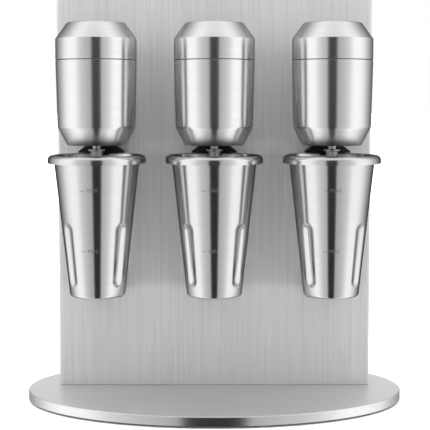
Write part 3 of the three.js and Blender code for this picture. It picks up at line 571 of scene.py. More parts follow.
class Blank:
    """A shape that is being worked on, in millimetres."""

    def __init__(self) -> None:
        """Starts with nothing."""
        self.shape = bmesh.new()

    @classmethod
    def turned(
        cls, corners: Sequence[Corner], segments: int = 96, steps: int = 5, ring: bool = False
    ) -> "Blank":
        """A shape turned about Z.

        Args:
            corners: Radius and height of each corner, and its rounding.
            segments: Steps round the axis.
            steps: Steps in each rounded corner.
            ring: Whether the outline closes on itself instead of on the axis.

        Returns:
            The turned shape.
        """
        blank = cls()
        points = rounded(corners, steps)
        verts = [blank.shape.verts.new((radius, 0, height)) for radius, height in points]
        following = verts[1:] + (verts[:1] if ring else [])
        edges = [blank.shape.edges.new(pair) for pair in zip(verts, following)]
        bmesh.ops.spin(
            blank.shape,
            geom=verts + edges,
            cent=(0, 0, 0),
            axis=(0, 0, 1),
            angle=2 * math.pi,
            steps=segments,
            use_merge=True,
        )
        return blank.tidied()

    @classmethod
    def block(cls, low: Corner, high: Corner, rounding: float = 0.0, steps: int = 3) -> "Blank":
        """A block between two corners.

        Args:
            low: Its lowest corner.
            high: Its highest corner.
            rounding: Radius of its edges.
            steps: Steps in each rounded edge.

        Returns:
            The block.
        """
        blank = cls()
        verts = bmesh.ops.create_cube(blank.shape, size=1)["verts"]
        bmesh.ops.scale(blank.shape, vec=Vector(high) - Vector(low), verts=verts)
        bmesh.ops.translate(blank.shape, vec=(Vector(high) + Vector(low)) / 2, verts=verts)
        if rounding:
            blank.bevel(blank.shape.edges, rounding, steps)
        return blank

    @classmethod
    def disc(cls, width: float, depth: float, height: float, segments: int) -> "Blank":
        """A flat elliptical face.

        Args:
            width: Its size along X.
            depth: Its size along Y.
            height: Where it lies.
            segments: Corners round its edge.

        Returns:
            The face.
        """
        blank = cls()
        verts = bmesh.ops.create_circle(
            blank.shape, cap_ends=True, radius=1, segments=segments
        )["verts"]
        bmesh.ops.scale(blank.shape, vec=(width / 2, depth / 2, 1), verts=verts)
        bmesh.ops.translate(blank.shape, vec=(0, 0, height), verts=verts)
        return blank

    @classmethod
    def like(cls, node: str, rounding: float, steps: int = 2) -> "Blank":
        """A merged copy of a CAD node with its sharp edges rounded.

        Args:
            node: The node's name.
            rounding: Radius of the edges.
            steps: Steps in each rounded edge.

        Returns:
            The copy.
        """
        blank = cls()
        blank.shape.from_mesh(bpy.data.objects[node].data)
        bmesh.ops.scale(blank.shape, vec=(1 / MM,) * 3, verts=blank.shape.verts)
        bmesh.ops.remove_doubles(blank.shape, verts=blank.shape.verts, dist=CAD_MERGE)
        bmesh.ops.dissolve_limit(
            blank.shape,
            angle_limit=math.radians(1),
            verts=blank.shape.verts,
            edges=blank.shape.edges,
            delimit=set(),
        )
        limit = math.radians(CAD_SHARP)
        sharp = [edge for edge in blank.shape.edges if edge.calc_face_angle(0) > limit]
        blank.bevel(sharp, rounding, steps)
        return blank

    def tidied(self) -> "Blank":
        """Merges what meets and turns every face outwards.

        Returns:
            The same blank.
        """
        bmesh.ops.remove_doubles(self.shape, verts=self.shape.verts, dist=1e-4)
        bmesh.ops.recalc_face_normals(self.shape, faces=self.shape.faces)
        return self

    def bevel(
        self,
        parts: Iterable[bmesh.types.BMEdge | bmesh.types.BMVert],
        width: float,
        steps: int = 3,
        affect: str = "EDGES",
    ) -> "Blank":
        """Rounds edges, or the corners of a flat sheet.

        Args:
            parts: The edges, or the corners.
            width: The rounding's size.
            steps: Steps in each rounding.
            affect: EDGES or VERTICES, for what the parts are.

        Returns:
            The same blank.
        """
        bmesh.ops.bevel(
            self.shape,
            geom=list(parts),
            offset=width,
            offset_type="OFFSET",
            affect=affect,
            segments=steps,
            profile=0.5,
            material=-1,
            clamp_overlap=True,
        )
        return self

    def cut_at(self, place: float, axis: int, faces: Iterable[bmesh.types.BMFace]) -> None:
        """Cuts faces along a plane square to an axis.

        Args:
            place: Where the plane crosses the axis.
            axis: 0, 1 or 2 for X, Y or Z.
            faces: The faces to cut.
        """
        point = Vector()
        point[axis] = place
        normal = Vector()
        normal[axis] = 1
        chosen = list(faces)
        edges = {edge for face in chosen for edge in face.edges}
        verts = {vert for face in chosen for vert in face.verts}
        geom = [*chosen, *edges, *verts]
        bmesh.ops.bisect_plane(self.shape, geom=geom, dist=1e-4, plane_co=point, plane_no=normal)

    def thickened(self, thickness: float) -> "Blank":
        """Gives an open sheet its thickness, inwards.

        Args:
            thickness: The sheet's thickness.

        Returns:
            The same blank.
        """
        bmesh.ops.recalc_face_normals(self.shape, faces=self.shape.faces)
        bmesh.ops.solidify(self.shape, geom=self.shape.faces, thickness=thickness)
        return self.tidied()

    def numbered(self) -> bmesh.types.BMFaceSeq:
        """Brings the faces' numbers and normals up to date.

        Returns:
            The faces.
        """
        self.shape.normal_update()
        self.shape.faces.index_update()
        return self.shape.faces

    def moved(self, x: float, y: float, z: float = 0.0) -> "Blank":
        """Moves the shape.

        Args:
            x: How far along X.
            y: How far along Y.
            z: How far along Z.

        Returns:
            The same blank.
        """
        bmesh.ops.translate(self.shape, vec=(x, y, z), verts=self.shape.verts)
        return self

    def turned_about(self, axis: str, degrees: float) -> "Blank":
        """Turns the shape about an axis through the origin.

        Args:
            axis: The axis, X, Y or Z.
            degrees: How far.

        Returns:
            The same blank.
        """
        turn = Matrix.Rotation(math.radians(degrees), 3, axis)
        bmesh.ops.rotate(self.shape, cent=(0, 0, 0), matrix=turn, verts=self.shape.verts)
        return self

    def joined(self, *others: "Blank") -> "Blank":
        """Takes other shapes into this one.

        Args:
            others: The shapes, which are used up.

        Returns:
            The same blank.
        """
        for other in others:
            carrier = bpy.data.meshes.new("carrier")
            other.shape.to_mesh(carrier)
            self.shape.from_mesh(carrier)
            other.shape.free()
            bpy.data.meshes.remove(carrier)
        return self

    def placed(self, name: str, material: bpy.types.Material) -> bpy.types.Object:
        """Turns the shape into an object in metres, which uses it up.

        Args:
            name: The object's name.
            material: Its material.

        Returns:
            The object.
        """
        bmesh.ops.scale(self.shape, vec=(MM,) * 3, verts=self.shape.verts)
        mesh = bpy.data.meshes.new(name)
        self.shape.to_mesh(mesh)
        self.shape.free()
        mesh.materials.append(material)
        made = bpy.data.objects.new(name, mesh)
        bpy.context.scene.collection.objects.link(made)
        return made

    def piece(
        self,
        name: str,
        finish: Finish,
        slot: str,
        body: str = "root",
        replaces: Sequence[str] = (),
        smooth_below: float = 32.0,
    ) -> bpy.types.Object:
        """slot: Not used. The record's material slot.
            body: The CAD body it rides on.
            replaces: The CAD nodes it stands for.
            smooth_below: Edges sharper than this many degrees stay crisp.

        Returns:
            The piece.
        """
        limit = math.radians(smooth_below)
        for face in self.shape.faces:
            face.smooth = True
        for edge in self.shape.edges:
            edge.smooth = edge.calc_face_angle(0) < limit
        made = self.placed(name, Finishes.get(finish))
        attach(made, body)
        if replaces:
            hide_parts(*replaces)
        LOG.info("%s: %d faces on %s", name, len(made.data.polygons), body)
        return made


def spot(node: str) -> tuple[Vector, Vector]:
    """A CAD node's box in millimetres.

    Args:
        node: The node's name.

    Returns:
        Its lowest and its highest corner.
    """
    low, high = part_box(node)
    return low / MM, high / MM


def axis_of(node: str) -> tuple[float, float]:
    """Where a round CAD node's upright axis stands, in millimetres.

    Args:
        node: The node's name.

    Returns:
        The axis's X and Y.
    """
    low, high = spot(node)
    return (low.x + high.x) / 2, (low.y + high.y) / 2


def dress(nodes: Iterable[str], finish: Finish) -> None:
    """Gives CAD nodes that stay their finish.

    Args:
        nodes: The nodes' names.
        finish: The finish.
    """
    for name in nodes:
        mesh = bpy.data.objects[name].data
        mesh.materials.clear()
        mesh.materials.append(Finishes.get(finish))
        LOG.info("%s: %s", name, finish.name)


def screw(radius: float, height: float) -> Blank:
    """A pan-head screw's head with a cross slot, standing on Z = 0.

    Args:
        radius: The head's radius.
        height: The head's height.

    Returns:
        The head.
    """
    head = Blank.turned([(0, 0), (radius, 0), (radius, height, height * 0.7), (0, height)], 32, 4)
    centre = [face for face in head.shape.faces if face.calc_center_median().length < radius]
    top = [face for face in centre if face.calc_center_median().z > height * 0.99]
    verts = {vert for face in top for vert in face.verts}
    middle = min(verts, key=lambda vert: vert.co.xy.length)
    middle.co.z -= height * 0.45
    slots = []
    for x, y in ((SLOT_REACH, SLOT_HALF_WIDTH), (SLOT_HALF_WIDTH, SLOT_REACH)):
        low = (-x * radius, -y * radius, height * 0.5)
        high = (x * radius, y * radius, height * 0.86)
        slots.append(Blank.block(low, high, 0.05, 1))
    return head.joined(*slots)


# ---- Base ----


@dataclass
class Base:
    """The oval base plate, its weight and its feet."""

    skin: float = 1.5
    edge_radius: float = 2.0
    rim_slope: float = 0.75  # of a normal's Z, under which a face belongs to the rim
    segments: int = 256
    foot_edge: float = 1.2
    foot_cup: float = 1.5
    foot_screw: float = 4.0
    screw_height: float = 1.1

    def build(self) -> None:
        """Makes the plate and the feet and dresses the weight."""
        self.plate()
        for row in ("front", "rear"):
            for side in ("left", "right"):
                self.foot(f"{row}_{side}")
        dress(["base_weight"], Finishes.PRIMER)

    def plate(self) -> None:
        """A shallow drawn tray, open below."""
        low, high = spot("base_shell")
        blank = Blank.disc(high.x - low.x, high.y - low.y, high.z, self.segments)
        edge = list(blank.shape.edges)
        skirt = bmesh.ops.extrude_edge_only(blank.shape, edges=edge)["geom"]
        verts = [part for part in skirt if isinstance(part, bmesh.types.BMVert)]
        bmesh.ops.translate(blank.shape, vec=(0, 0, low.z - high.z), verts=verts)
        bmesh.ops.recalc_face_normals(blank.shape, faces=blank.shape.faces)
        rim = [item for item in blank.shape.edges if item.calc_face_angle(0) > 1]
        blank.bevel(rim, self.edge_radius, 6)
        if sum(face.normal.z * face.calc_area() for face in blank.shape.faces) < 0:
            bmesh.ops.reverse_faces(blank.shape, faces=blank.shape.faces)
        blank.thickened(self.skin)
        rim_faces = [
            face.index for face in blank.numbered() if abs(face.normal.z) < self.rim_slope
        ]
        made = blank.piece("base_plate", Finishes.BASE, "body_steel", replaces=["base_shell"])
        made.data.materials.append(Finishes.get(Finishes.RIM))
        for index in rim_faces:
            made.data.polygons[index].material_index = 1

    def foot(self, place: str) -> None:
        """A rubber foot with a screw up its hollow.

        Args:
            place: The foot's corner.
        """
        node = f"foot_{place}"
        low, high = spot(node)
        radius = (high.x - low.x) / 2
        corners = [
            (0, low.z + self.foot_cup),
            (self.foot_screw, low.z + self.foot_cup, 0.4),
            (self.foot_screw + 1, low.z, 0.4),
            (radius - 2, low.z, self.foot_edge),
            (radius, high.z, 0.5),
            (0, high.z),
        ]
        blank = Blank.turned(corners, 64, 4).moved(*axis_of(node))
        blank.piece(f"rubber_{node}", Finishes.RUBBER, "rubber", replaces=[node])
        head = screw(self.foot_screw * 0.8, self.screw_height).turned_about("X", 180)
        head.moved(*axis_of(node), low.z + self.foot_cup)
        head.piece(f"foot_screw_{place}", Finishes.ZINC, "zinc_steel")


# ---- Column ----


class Opening(NamedTuple):
    """A rounded opening in an upright sheet."""

    x: float
    z: float
    width: float
    height: float
    rounding: float

    def holds(self, point: Vector) -> bool:
        """Whether a point lies in the opening.

        Args:
            point: The point.

        Returns:
            True when it does.
        """
        return abs(point.x - self.x) < self.width / 2 and abs(point.z - self.z) < self.height / 2

    def has_corner(self, point: Vector) -> bool:
        """Whether a point is one of the opening's corners.

        Args:
            point: The point.

        Returns:
            True when it is.
        """
        across = abs(abs(point.x - self.x) - self.width / 2)
        up = abs(abs(point.z - self.z) - self.height / 2)
        return across < NEAR and up < NEAR


@dataclass
class Column:
    """The upright housing with its rear cover, its inlet and its inner steelwork."""

    sheet: float = 1.5
    corner_radius: float = 4.0
    top_radius: float = 8.0
    flange: float = 14.0
    vent_width: float = 60.0
    vent_height: float = 4.0
    vent_pitch: float = 11.0
    vent_count: int = 7
    vent_drop: float = 140.0
    slot_half_width: float = 15.0
    slot_margin: float = 2.0
    lever_travel: float = 6.0
    tail_height: float = 8.0
    tail_rise: float = 2.25
    inlet_width: float = 31.0
    inlet_height: float = 24.0
    bezel_lip: float = 2.0
    opening_corner: float = 0.5
    corner_steps: int = 5
    screw_radius: float = 3.4
    screw_height: float = 2.0
    screw_inset: float = 4.2
    screw_margin: float = 20.0
    pin_places: tuple[tuple[float, float], ...] = ((-8, -2), (8, -2), (0, 4))
    pin_half_width: float = 1.05
    pin_half_height: float = 2.55
    pin_root: float = 18.0  # in front of the inlet's face
    pin_tip: float = 4.4
    steel_edge: float = 0.5

    def build(self) -> None:
        """Makes and dresses every piece of the column."""
        self.shell()
        self.rear_cover()
        self.cover_screws()
        self.inlet()
        for name in ("head_rail", "base_angle"):
            blank = Blank.like(name, self.steel_edge)
            blank.piece(f"{name}_steel", Finishes.ZINC, "zinc_steel", replaces=[name])
        block = Blank.like("terminal_block", 0.4)
        block.piece("terminal_strip", Finishes.GREY, "grey_plastic", replaces=["terminal_block"])

    def shell(self) -> None:
        """The folded sheet, with slots for the levers and an open rear."""
        low, high = spot("column_shell")
        blank = Blank.block(low, high)
        upright = [
            edge for edge in blank.shape.edges if abs(edge.verts[0].co.z - edge.verts[1].co.z) > 1
        ]
        blank.bevel(upright, self.corner_radius, 6)
        top = [
            edge
            for edge in blank.shape.edges
            if min(vert.co.z for vert in edge.verts) > high.z - 0.1
            and abs(edge.verts[0].co.x - edge.verts[1].co.x) > 10
        ]
        blank.bevel(top, self.top_radius, 8)
        self.open_rear(blank, low, high)
        self.open_slots(blank, low)
        blank.thickened(self.sheet)
        blank.piece("column_sheet", Finishes.PLATE, "body_steel", replaces=["column_shell"])

    def open_rear(self, blank: Blank, low: Vector, high: Vector) -> None:
        """Cuts the rear opening and the bottom opening out of the sheet.

        Args:
            blank: The column's sheet.
            low: The column's lowest corner.
            high: Its highest corner.
        """
        rear = self.flat_faces(blank, 1, high.y)
        for place in (low.x + self.flange, high.x - self.flange):
            blank.cut_at(place, 0, rear)
            rear = self.flat_faces(blank, 1, high.y)
        for place in (low.z + self.flange, high.z - self.flange):
            blank.cut_at(place, 2, rear)
            rear = self.flat_faces(blank, 1, high.y)
        middle = (low.z + high.z) / 2
        gone = []
        for face in rear:
            centre = face.calc_center_median()
            if abs(centre.x) < 1 and abs(centre.z - middle) < 1:
                gone.append(face)
        bmesh.ops.delete(blank.shape, geom=gone, context="FACES")

    def open_slots(self, blank: Blank, low: Vector) -> None:
        """Cuts the levers' slots out of the front.

        Args:
            blank: The column's sheet.
            low: The column's lowest corner.
        """
        lever_high = spot("start_lever_middle")[1]
        tail = lever_high.z - self.tail_height - self.tail_rise
        bottom = tail - self.slot_margin
        top = tail + self.tail_height + self.lever_travel + self.slot_margin
        edges = []
        for side in SIDES:
            middle = axis_of(f"start_lever_{side}")[0]
            edges.append((middle - self.slot_half_width, middle + self.slot_half_width))
        for place in (bottom, top):
            blank.cut_at(place, 2, self.flat_faces(blank, 1, low.y))
        for pair in edges:
            for place in pair:
                blank.cut_at(place, 0, self.flat_faces(blank, 1, low.y))
        gone = []
        for face in self.flat_faces(blank, 1, low.y):
            centre = face.calc_center_median()
            inside = any(left < centre.x < right for left, right in edges)
            if inside and bottom < centre.z < top:
                gone.append(face)
        bmesh.ops.delete(blank.shape, geom=gone, context="FACES")

    @staticmethod
    def flat_faces(blank: Blank, axis: int, place: float) -> list[bmesh.types.BMFace]:
        """The faces that lie flat at a place along an axis.

        Args:
            blank: The shape.
            axis: 0, 1 or 2 for X, Y or Z.
            place: The place along it.

        Returns:
            The faces.
        """
        return [
            face
            for face in blank.shape.faces
            if all(abs(vert.co[axis] - place) < NEAR for vert in face.verts)
        ]

    def cutouts(self) -> list[Opening]:
        """The rear cover's openings, for the switches, the vents and the inlet.

        Returns:
            The openings.
        """
        top = spot("column_shell")[1].z
        found = []
        for side in SIDES:
            low, high = spot(f"speed_switch_{side}")
            middle = (low.x + high.x) / 2
            width = high.x - low.x - 2 * self.bezel_lip
            height = high.z - low.z - 2 * self.bezel_lip
            switch = (low.z + high.z) / 2
            found.append(Opening(middle, switch, width, height, self.opening_corner))
            for row in range(self.vent_count):
                vent = top - self.vent_drop - row * self.vent_pitch
                rounding = self.vent_height * 0.49
                found.append(Opening(middle, vent, self.vent_width, self.vent_height, rounding))
        low, high = spot("power_inlet")
        inlet = (low.z + high.z) / 2
        found.append(
            Opening(0.0, inlet, self.inlet_width, self.inlet_height, self.opening_corner)
        )
        return found

    def rear_cover(self) -> None:
        """The cover's plate with its vents and cutouts."""
        low, high = spot("rear_cover")
        blank = Blank.block(low, high)
        thickness = high.y - low.y
        front = [face for face in blank.shape.faces if face.normal.y < 0.5]
        bmesh.ops.delete(blank.shape, geom=front, context="FACES")
        openings = self.cutouts()
        columns = {item.x + side * item.width / 2 for item in openings for side in (-1, 1)}
        rows = {item.z + side * item.height / 2 for item in openings for side in (-1, 1)}
        for place in sorted(columns):
            blank.cut_at(place, 0, blank.shape.faces)
        for place in sorted(rows):
            blank.cut_at(place, 2, blank.shape.faces)
        gone = [
            face
            for face in blank.shape.faces
            if any(item.holds(face.calc_center_median()) for item in openings)
        ]
        bmesh.ops.delete(blank.shape, geom=gone, context="FACES")
        self.round_openings(blank, openings, low, high)
        blank.thickened(thickness)
        blank.piece("back_panel", Finishes.PLATE, "body_steel", replaces=["rear_cover"])

    def round_openings(
        self, blank: Blank, openings: Sequence[Opening], low: Vector, high: Vector
    ) -> None:
        """Rounds the corners of the plate and of its openings.

        Args:
            blank: The plate.
            openings: Its openings.
            low: The plate's lowest corner.
            high: Its highest corner.
        """
        for opening in openings:
            corners = [vert for vert in blank.shape.verts if opening.has_corner(vert.co)]
            blank.bevel(corners, opening.rounding, self.corner_steps, "VERTICES")
        corners = [
            vert
            for vert in blank.shape.verts
            if min(vert.co.x - low.x, high.x - vert.co.x) < NEAR
            and min(vert.co.z - low.z, high.z - vert.co.z) < NEAR
        ]
        blank.bevel(corners, self.corner_radius, self.corner_steps, "VERTICES")

    def cover_screws(self) -> None:
        """Screws round the cover's edge."""
        low, high = spot("rear_cover")
        thirds = ((low.z * 2 + high.z) / 3, (low.z + high.z * 2) / 3)
        heights = (low.z + self.screw_margin, *thirds, high.z - self.screw_margin)
        heads = []
        for x in (low.x + self.screw_inset, high.x - self.screw_inset):
            heads += [(x, z) for z in heights]
        for z in (low.z + self.screw_inset, high.z - self.screw_inset):
            heads += [(x, z) for x in (low.x / 2, 0, high.x / 2)]
        group = Blank()
        for x, z in heads:
            head = screw(self.screw_radius, self.screw_height).turned_about("X", -90)
            group.joined(head.moved(x, high.y, z))
        group.piece("cover_screws", Finishes.ZINC, "zinc_steel")

    def inlet(self) -> None:
        """The mains inlet's moulding and its pins."""
        low, high = spot("power_inlet")
        body = Blank.like("power_inlet", MOULDED_EDGE)
        body.piece("inlet_moulding", Finishes.BLACK, "black_plastic", replaces=["power_inlet"])
        middle = (low.z + high.z) / 2
        pins = Blank()
        for x, z in self.pin_places:
            root = (
                x - self.pin_half_width,
                high.y - self.pin_root,
                middle + z - self.pin_half_height,
            )
            tip = (
                x + self.pin_half_width,
                high.y - self.pin_tip,
                middle + z + self.pin_half_height,
            )
            pins.joined(Blank.block(root, tip, 0.3, 2))
        pins.piece("inlet_pins", Finishes.BRASS, "chrome")


# ---- Heads ----


@dataclass
class MotorHead:
    """A motor in its cap and housing, carried by a bracket."""

    side: str
    wall: float = 1.2
    top_radius: float = 33.6
    shoulder_height: float = 18.7
    waist_radius: float = 45.0
    taper_height: float = 20.6
    bottom_radius: float = 34.2
    bottom_bore: float = 11.1
    edge: float = 1.1
    seam_gap: float = 0.8
    spigot: float = 3.4
    gasket_width: float = 1.4
    winding_inset: float = 6.0
    winding_width: float = 14.0
    winding_lap: float = 7.0
    winding_height: float = 7.0
    winding_gap: float = 0.4
    segments: int = 160

    def build(self) -> None:
        """Makes the case and dresses what it holds."""
        self.cap()
        self.housing()
        self.gasket()
        self.bracket()
        self.windings()
        dress([f"motor_stator_{self.side}"], Finishes.IRON)
        dress([f"upper_bearing_{self.side}", f"lower_bearing_{self.side}"], Finishes.SHAFT)
        dress([f"start_switch_{self.side}", f"cooling_fan_{self.side}"], Finishes.GREY)

    def cap(self) -> None:
        """The domed cap with its sloping shoulder."""
        node = f"motor_cap_{self.side}"
        low, high = spot(node)
        radius = (high.x - low.x) / 2
        shoulder = high.z - self.shoulder_height
        corners = [
            (0, high.z),
            (self.top_radius, high.z, 2.6),
            (radius, shoulder, self.edge),
            (radius, low.z + self.seam_gap / 2, 0.3),
            (radius - self.wall, low.z + self.seam_gap / 2),
            (radius - self.wall, shoulder),
            (self.top_radius - self.wall, high.z - 1.6 * self.wall),
            (0, high.z - 1.6 * self.wall),
        ]
        blank = Blank.turned(corners, self.segments).moved(*axis_of(node))
        blank.piece(f"head_cap_{self.side}", Finishes.HEAD, "head_steel", replaces=[node])

    def housing(self) -> None:
        """The long case under the seam, drawn in at its foot."""
        node = f"motor_housing_{self.side}"
        low, high = spot(node)
        radius = (high.x - low.x) / 2
        seam = spot(f"motor_cap_{self.side}")[0].z - self.seam_gap / 2
        waist = low.z + self.taper_height
        inner = radius - self.wall - 0.4
        corners = [
            (inner, seam),
            (inner + 0.3, seam),
            (radius, seam, 0.3),
            (self.waist_radius, waist, 7.0),
            (self.bottom_radius, low.z, 0.6),
            (self.bottom_bore, low.z, 0.4),
            (self.bottom_bore, low.z + self.wall),
            (self.bottom_radius - self.wall, low.z + self.wall),
            (self.waist_radius - self.wall, waist),
            (inner - self.wall, seam),
            (inner - self.wall, seam + self.spigot),
            (inner, seam + self.spigot),
        ]
        blank = Blank.turned(corners, self.segments, 6, ring=True).moved(*axis_of(node))
        blank.piece(f"head_case_{self.side}", Finishes.HEAD, "head_steel", replaces=[node])

    def gasket(self) -> None:
        """The dark ring in the seam between the cap and the case."""
        node = f"motor_cap_{self.side}"
        low, high = spot(node)
        radius = (high.x - low.x) / 2 - self.wall + 0.1
        inner = radius - self.gasket_width
        corners = [
            (radius, low.z - self.seam_gap),
            (radius, low.z + self.seam_gap),
            (inner, low.z + self.seam_gap),
            (inner, low.z - self.seam_gap),
        ]
        blank = Blank.turned(corners, self.segments, ring=True).moved(*axis_of(node))
        blank.piece(f"head_gasket_{self.side}", Finishes.RUBBER, "rubber")

    def bracket(self) -> None:
        """The block between the case and the column."""
        node = f"head_bracket_{self.side}"
        blank = Blank.like(node, 0.8, 3)
        blank.piece(f"bracket_{self.side}", Finishes.PLATE, "body_steel", replaces=[node])

    def windings(self) -> None:
        """Copper turns over both ends of the field poles."""
        node = f"motor_stator_{self.side}"
        low, high = spot(node)
        outer = (high.x - low.x) / 2 - self.winding_inset
        inner = outer - self.winding_width
        group = Blank()
        for pole, sign in ((low.z, -1), (high.z, 1)):
            near = pole + sign * self.winding_gap
            far = pole + sign * self.winding_height
            corners = [
                (outer - self.winding_lap, near),
                (inner, near, 1.5),
                (inner, far, 3.0),
                (outer, far, 3.0),
                (outer, near, 1.5),
            ]
            group.joined(Blank.turned(corners, 64, 3, ring=True))
        group.moved(*axis_of(node))
        group.piece(f"field_windings_{self.side}", Finishes.COPPER, "motor_iron")


@dataclass
class Spindle:
    """The turning parts of a head: shaft, hub and agitator."""

    side: str
    shaft_radius: float = 4.7
    armature_step: float = 3.0  # from the stack to the winding's outside
    armature_overhang: float = 8.0
    commutator_radius: float = 10.0
    commutator_start: float = 3.0
    commutator_end: float = 14.0
    hub_flange: float = 2.0
    hub_body: float = 6.9
    knurl_depth: float = 0.3
    knurls: int = 22
    agitator_shaft: float = 3.2
    disc_thickness: float = 2.2
    disc_wave: float = 1.3
    disc_waves: int = 3
    disc_flat: float = 0.4  # share of the disc's radius that stays flat
    segments: int = 88

    def build(self) -> None:
        """Makes the shaft, the hub and the agitator."""
        self.rotor()
        self.hub()
        self.agitator()

    @property
    def body(self) -> str:
        """The CAD body that turns.

        Returns:
            The body's name.
        """
        return f"spindle_{self.side}"

    def rotor(self) -> None:
        """The shaft with its armature and commutator."""
        node = f"motor_rotor_{self.side}"
        low, high = spot(node)
        stack_low, stack_high = (corner.z for corner in spot(f"motor_stator_{self.side}"))
        radius = (high.x - low.x) / 2
        shaft = self.shaft_radius
        winding = radius - self.armature_step
        corners = [
            (0, low.z),
            (shaft, low.z, 0.4),
            (shaft, stack_low - self.armature_overhang),
            (winding, stack_low - self.armature_overhang, 3),
            (winding, stack_low),
            (radius, stack_low, 0.3),
            (radius, stack_high, 0.3),
            (winding, stack_high),
            (winding, stack_high + self.commutator_start, 2),
            (self.commutator_radius, stack_high + self.commutator_start),
            (self.commutator_radius, stack_high + self.commutator_end, 0.5),
            (shaft, stack_high + self.commutator_end),
            (shaft, high.z, 0.4),
            (0, high.z),
        ]
        blank = Blank.turned(corners, 64, 3).moved(*axis_of(node))
        blank.piece(f"rotor_{self.side}", Finishes.SHAFT, "shaft_steel", self.body, [node])

    def hub(self) -> None:
        """The plated hub with a knurled body."""
        node = f"spindle_hub_{self.side}"
        low, high = spot(node)
        flange = (high.x - low.x) / 2
        neck = high.z - self.hub_flange
        inner = self.shaft_radius + 0.15
        rows = [neck - 1.5 - (neck - low.z - 3) * step / 4 for step in range(5)]
        corners = [
            (inner, (low.z + high.z) / 2),
            (inner, high.z, 0.2),
            (flange, high.z, 0.7),
            (flange, neck, 0.7),
            (self.hub_body, neck),
            *((self.hub_body, row) for row in rows),
            (self.hub_body, low.z, 0.9),
            (self.agitator_shaft + 0.1, low.z, 0.3),
            (self.agitator_shaft + 0.1, (low.z + high.z) / 2),
        ]
        blank = Blank.turned(corners, self.knurls * 4, 3, ring=True)
        for vert in blank.shape.verts:
            radius = vert.co.xy.length
            if low.z + 1.3 < vert.co.z < neck - 1.3 and abs(radius - self.hub_body) < 0.05:
                angle = math.atan2(vert.co.y, vert.co.x)
                groove = self.knurl_depth * (0.5 + 0.5 * math.cos(angle * self.knurls))
                vert.co.xy *= (radius - groove) / radius
        blank.moved(*axis_of(node))
        name = f"knurled_hub_{self.side}"
        blank.piece(name, Finishes.CHROME, "chrome", self.body, [node], smooth_below=50)

    def agitator(self) -> None:
        """The long shaft with its waved disc."""
        node = f"agitator_{self.side}"
        low, high = spot(node)
        radius = (high.x - low.x) / 2
        shaft = self.agitator_shaft
        floor = low.z + 0.4
        rings = [radius * share for share in (0.45, 0.6, 0.75, 0.88)]
        top = floor + self.disc_thickness
        corners = [
            (0, floor),
            *((ring, floor) for ring in rings),
            (radius, floor, 0.8),
            (radius, top, 0.8),
            *((ring, top) for ring in reversed(rings)),
            (shaft + 1.2, top + 0.4, 1.0),
            (shaft, top + 4, 1.0),
            (shaft, high.z, 0.5),
            (0, high.z),
        ]
        blank = Blank.turned(corners, self.segments, 4)
        for vert in blank.shape.verts:
            out = vert.co.xy.length / radius
            if vert.co.z < top + 0.5 and out > self.disc_flat:
                angle = math.atan2(vert.co.y, vert.co.x)
                reach = (out - self.disc_flat) / (1 - self.disc_flat)
                vert.co.z += self.disc_wave * math.cos(self.disc_waves * angle) * reach**2
        blank.moved(*axis_of(node))
        blank.piece(f"agitator_shaft_{self.side}", Finishes.SHAFT, "cup_steel", self.body, [node])


@dataclass
class StartLever:
    """The black lever that a cup's rim lifts."""

    side: str
    rounding: float = 0.9

    def build(self) -> None:
        """Makes the lever."""
        node = f"start_lever_{self.side}"
        blank = Blank.like(node, self.rounding, 3)
        blank.piece(f"lever_{self.side}", Finishes.BLACK, "black_plastic", node, [node])


# ---- Cups ----


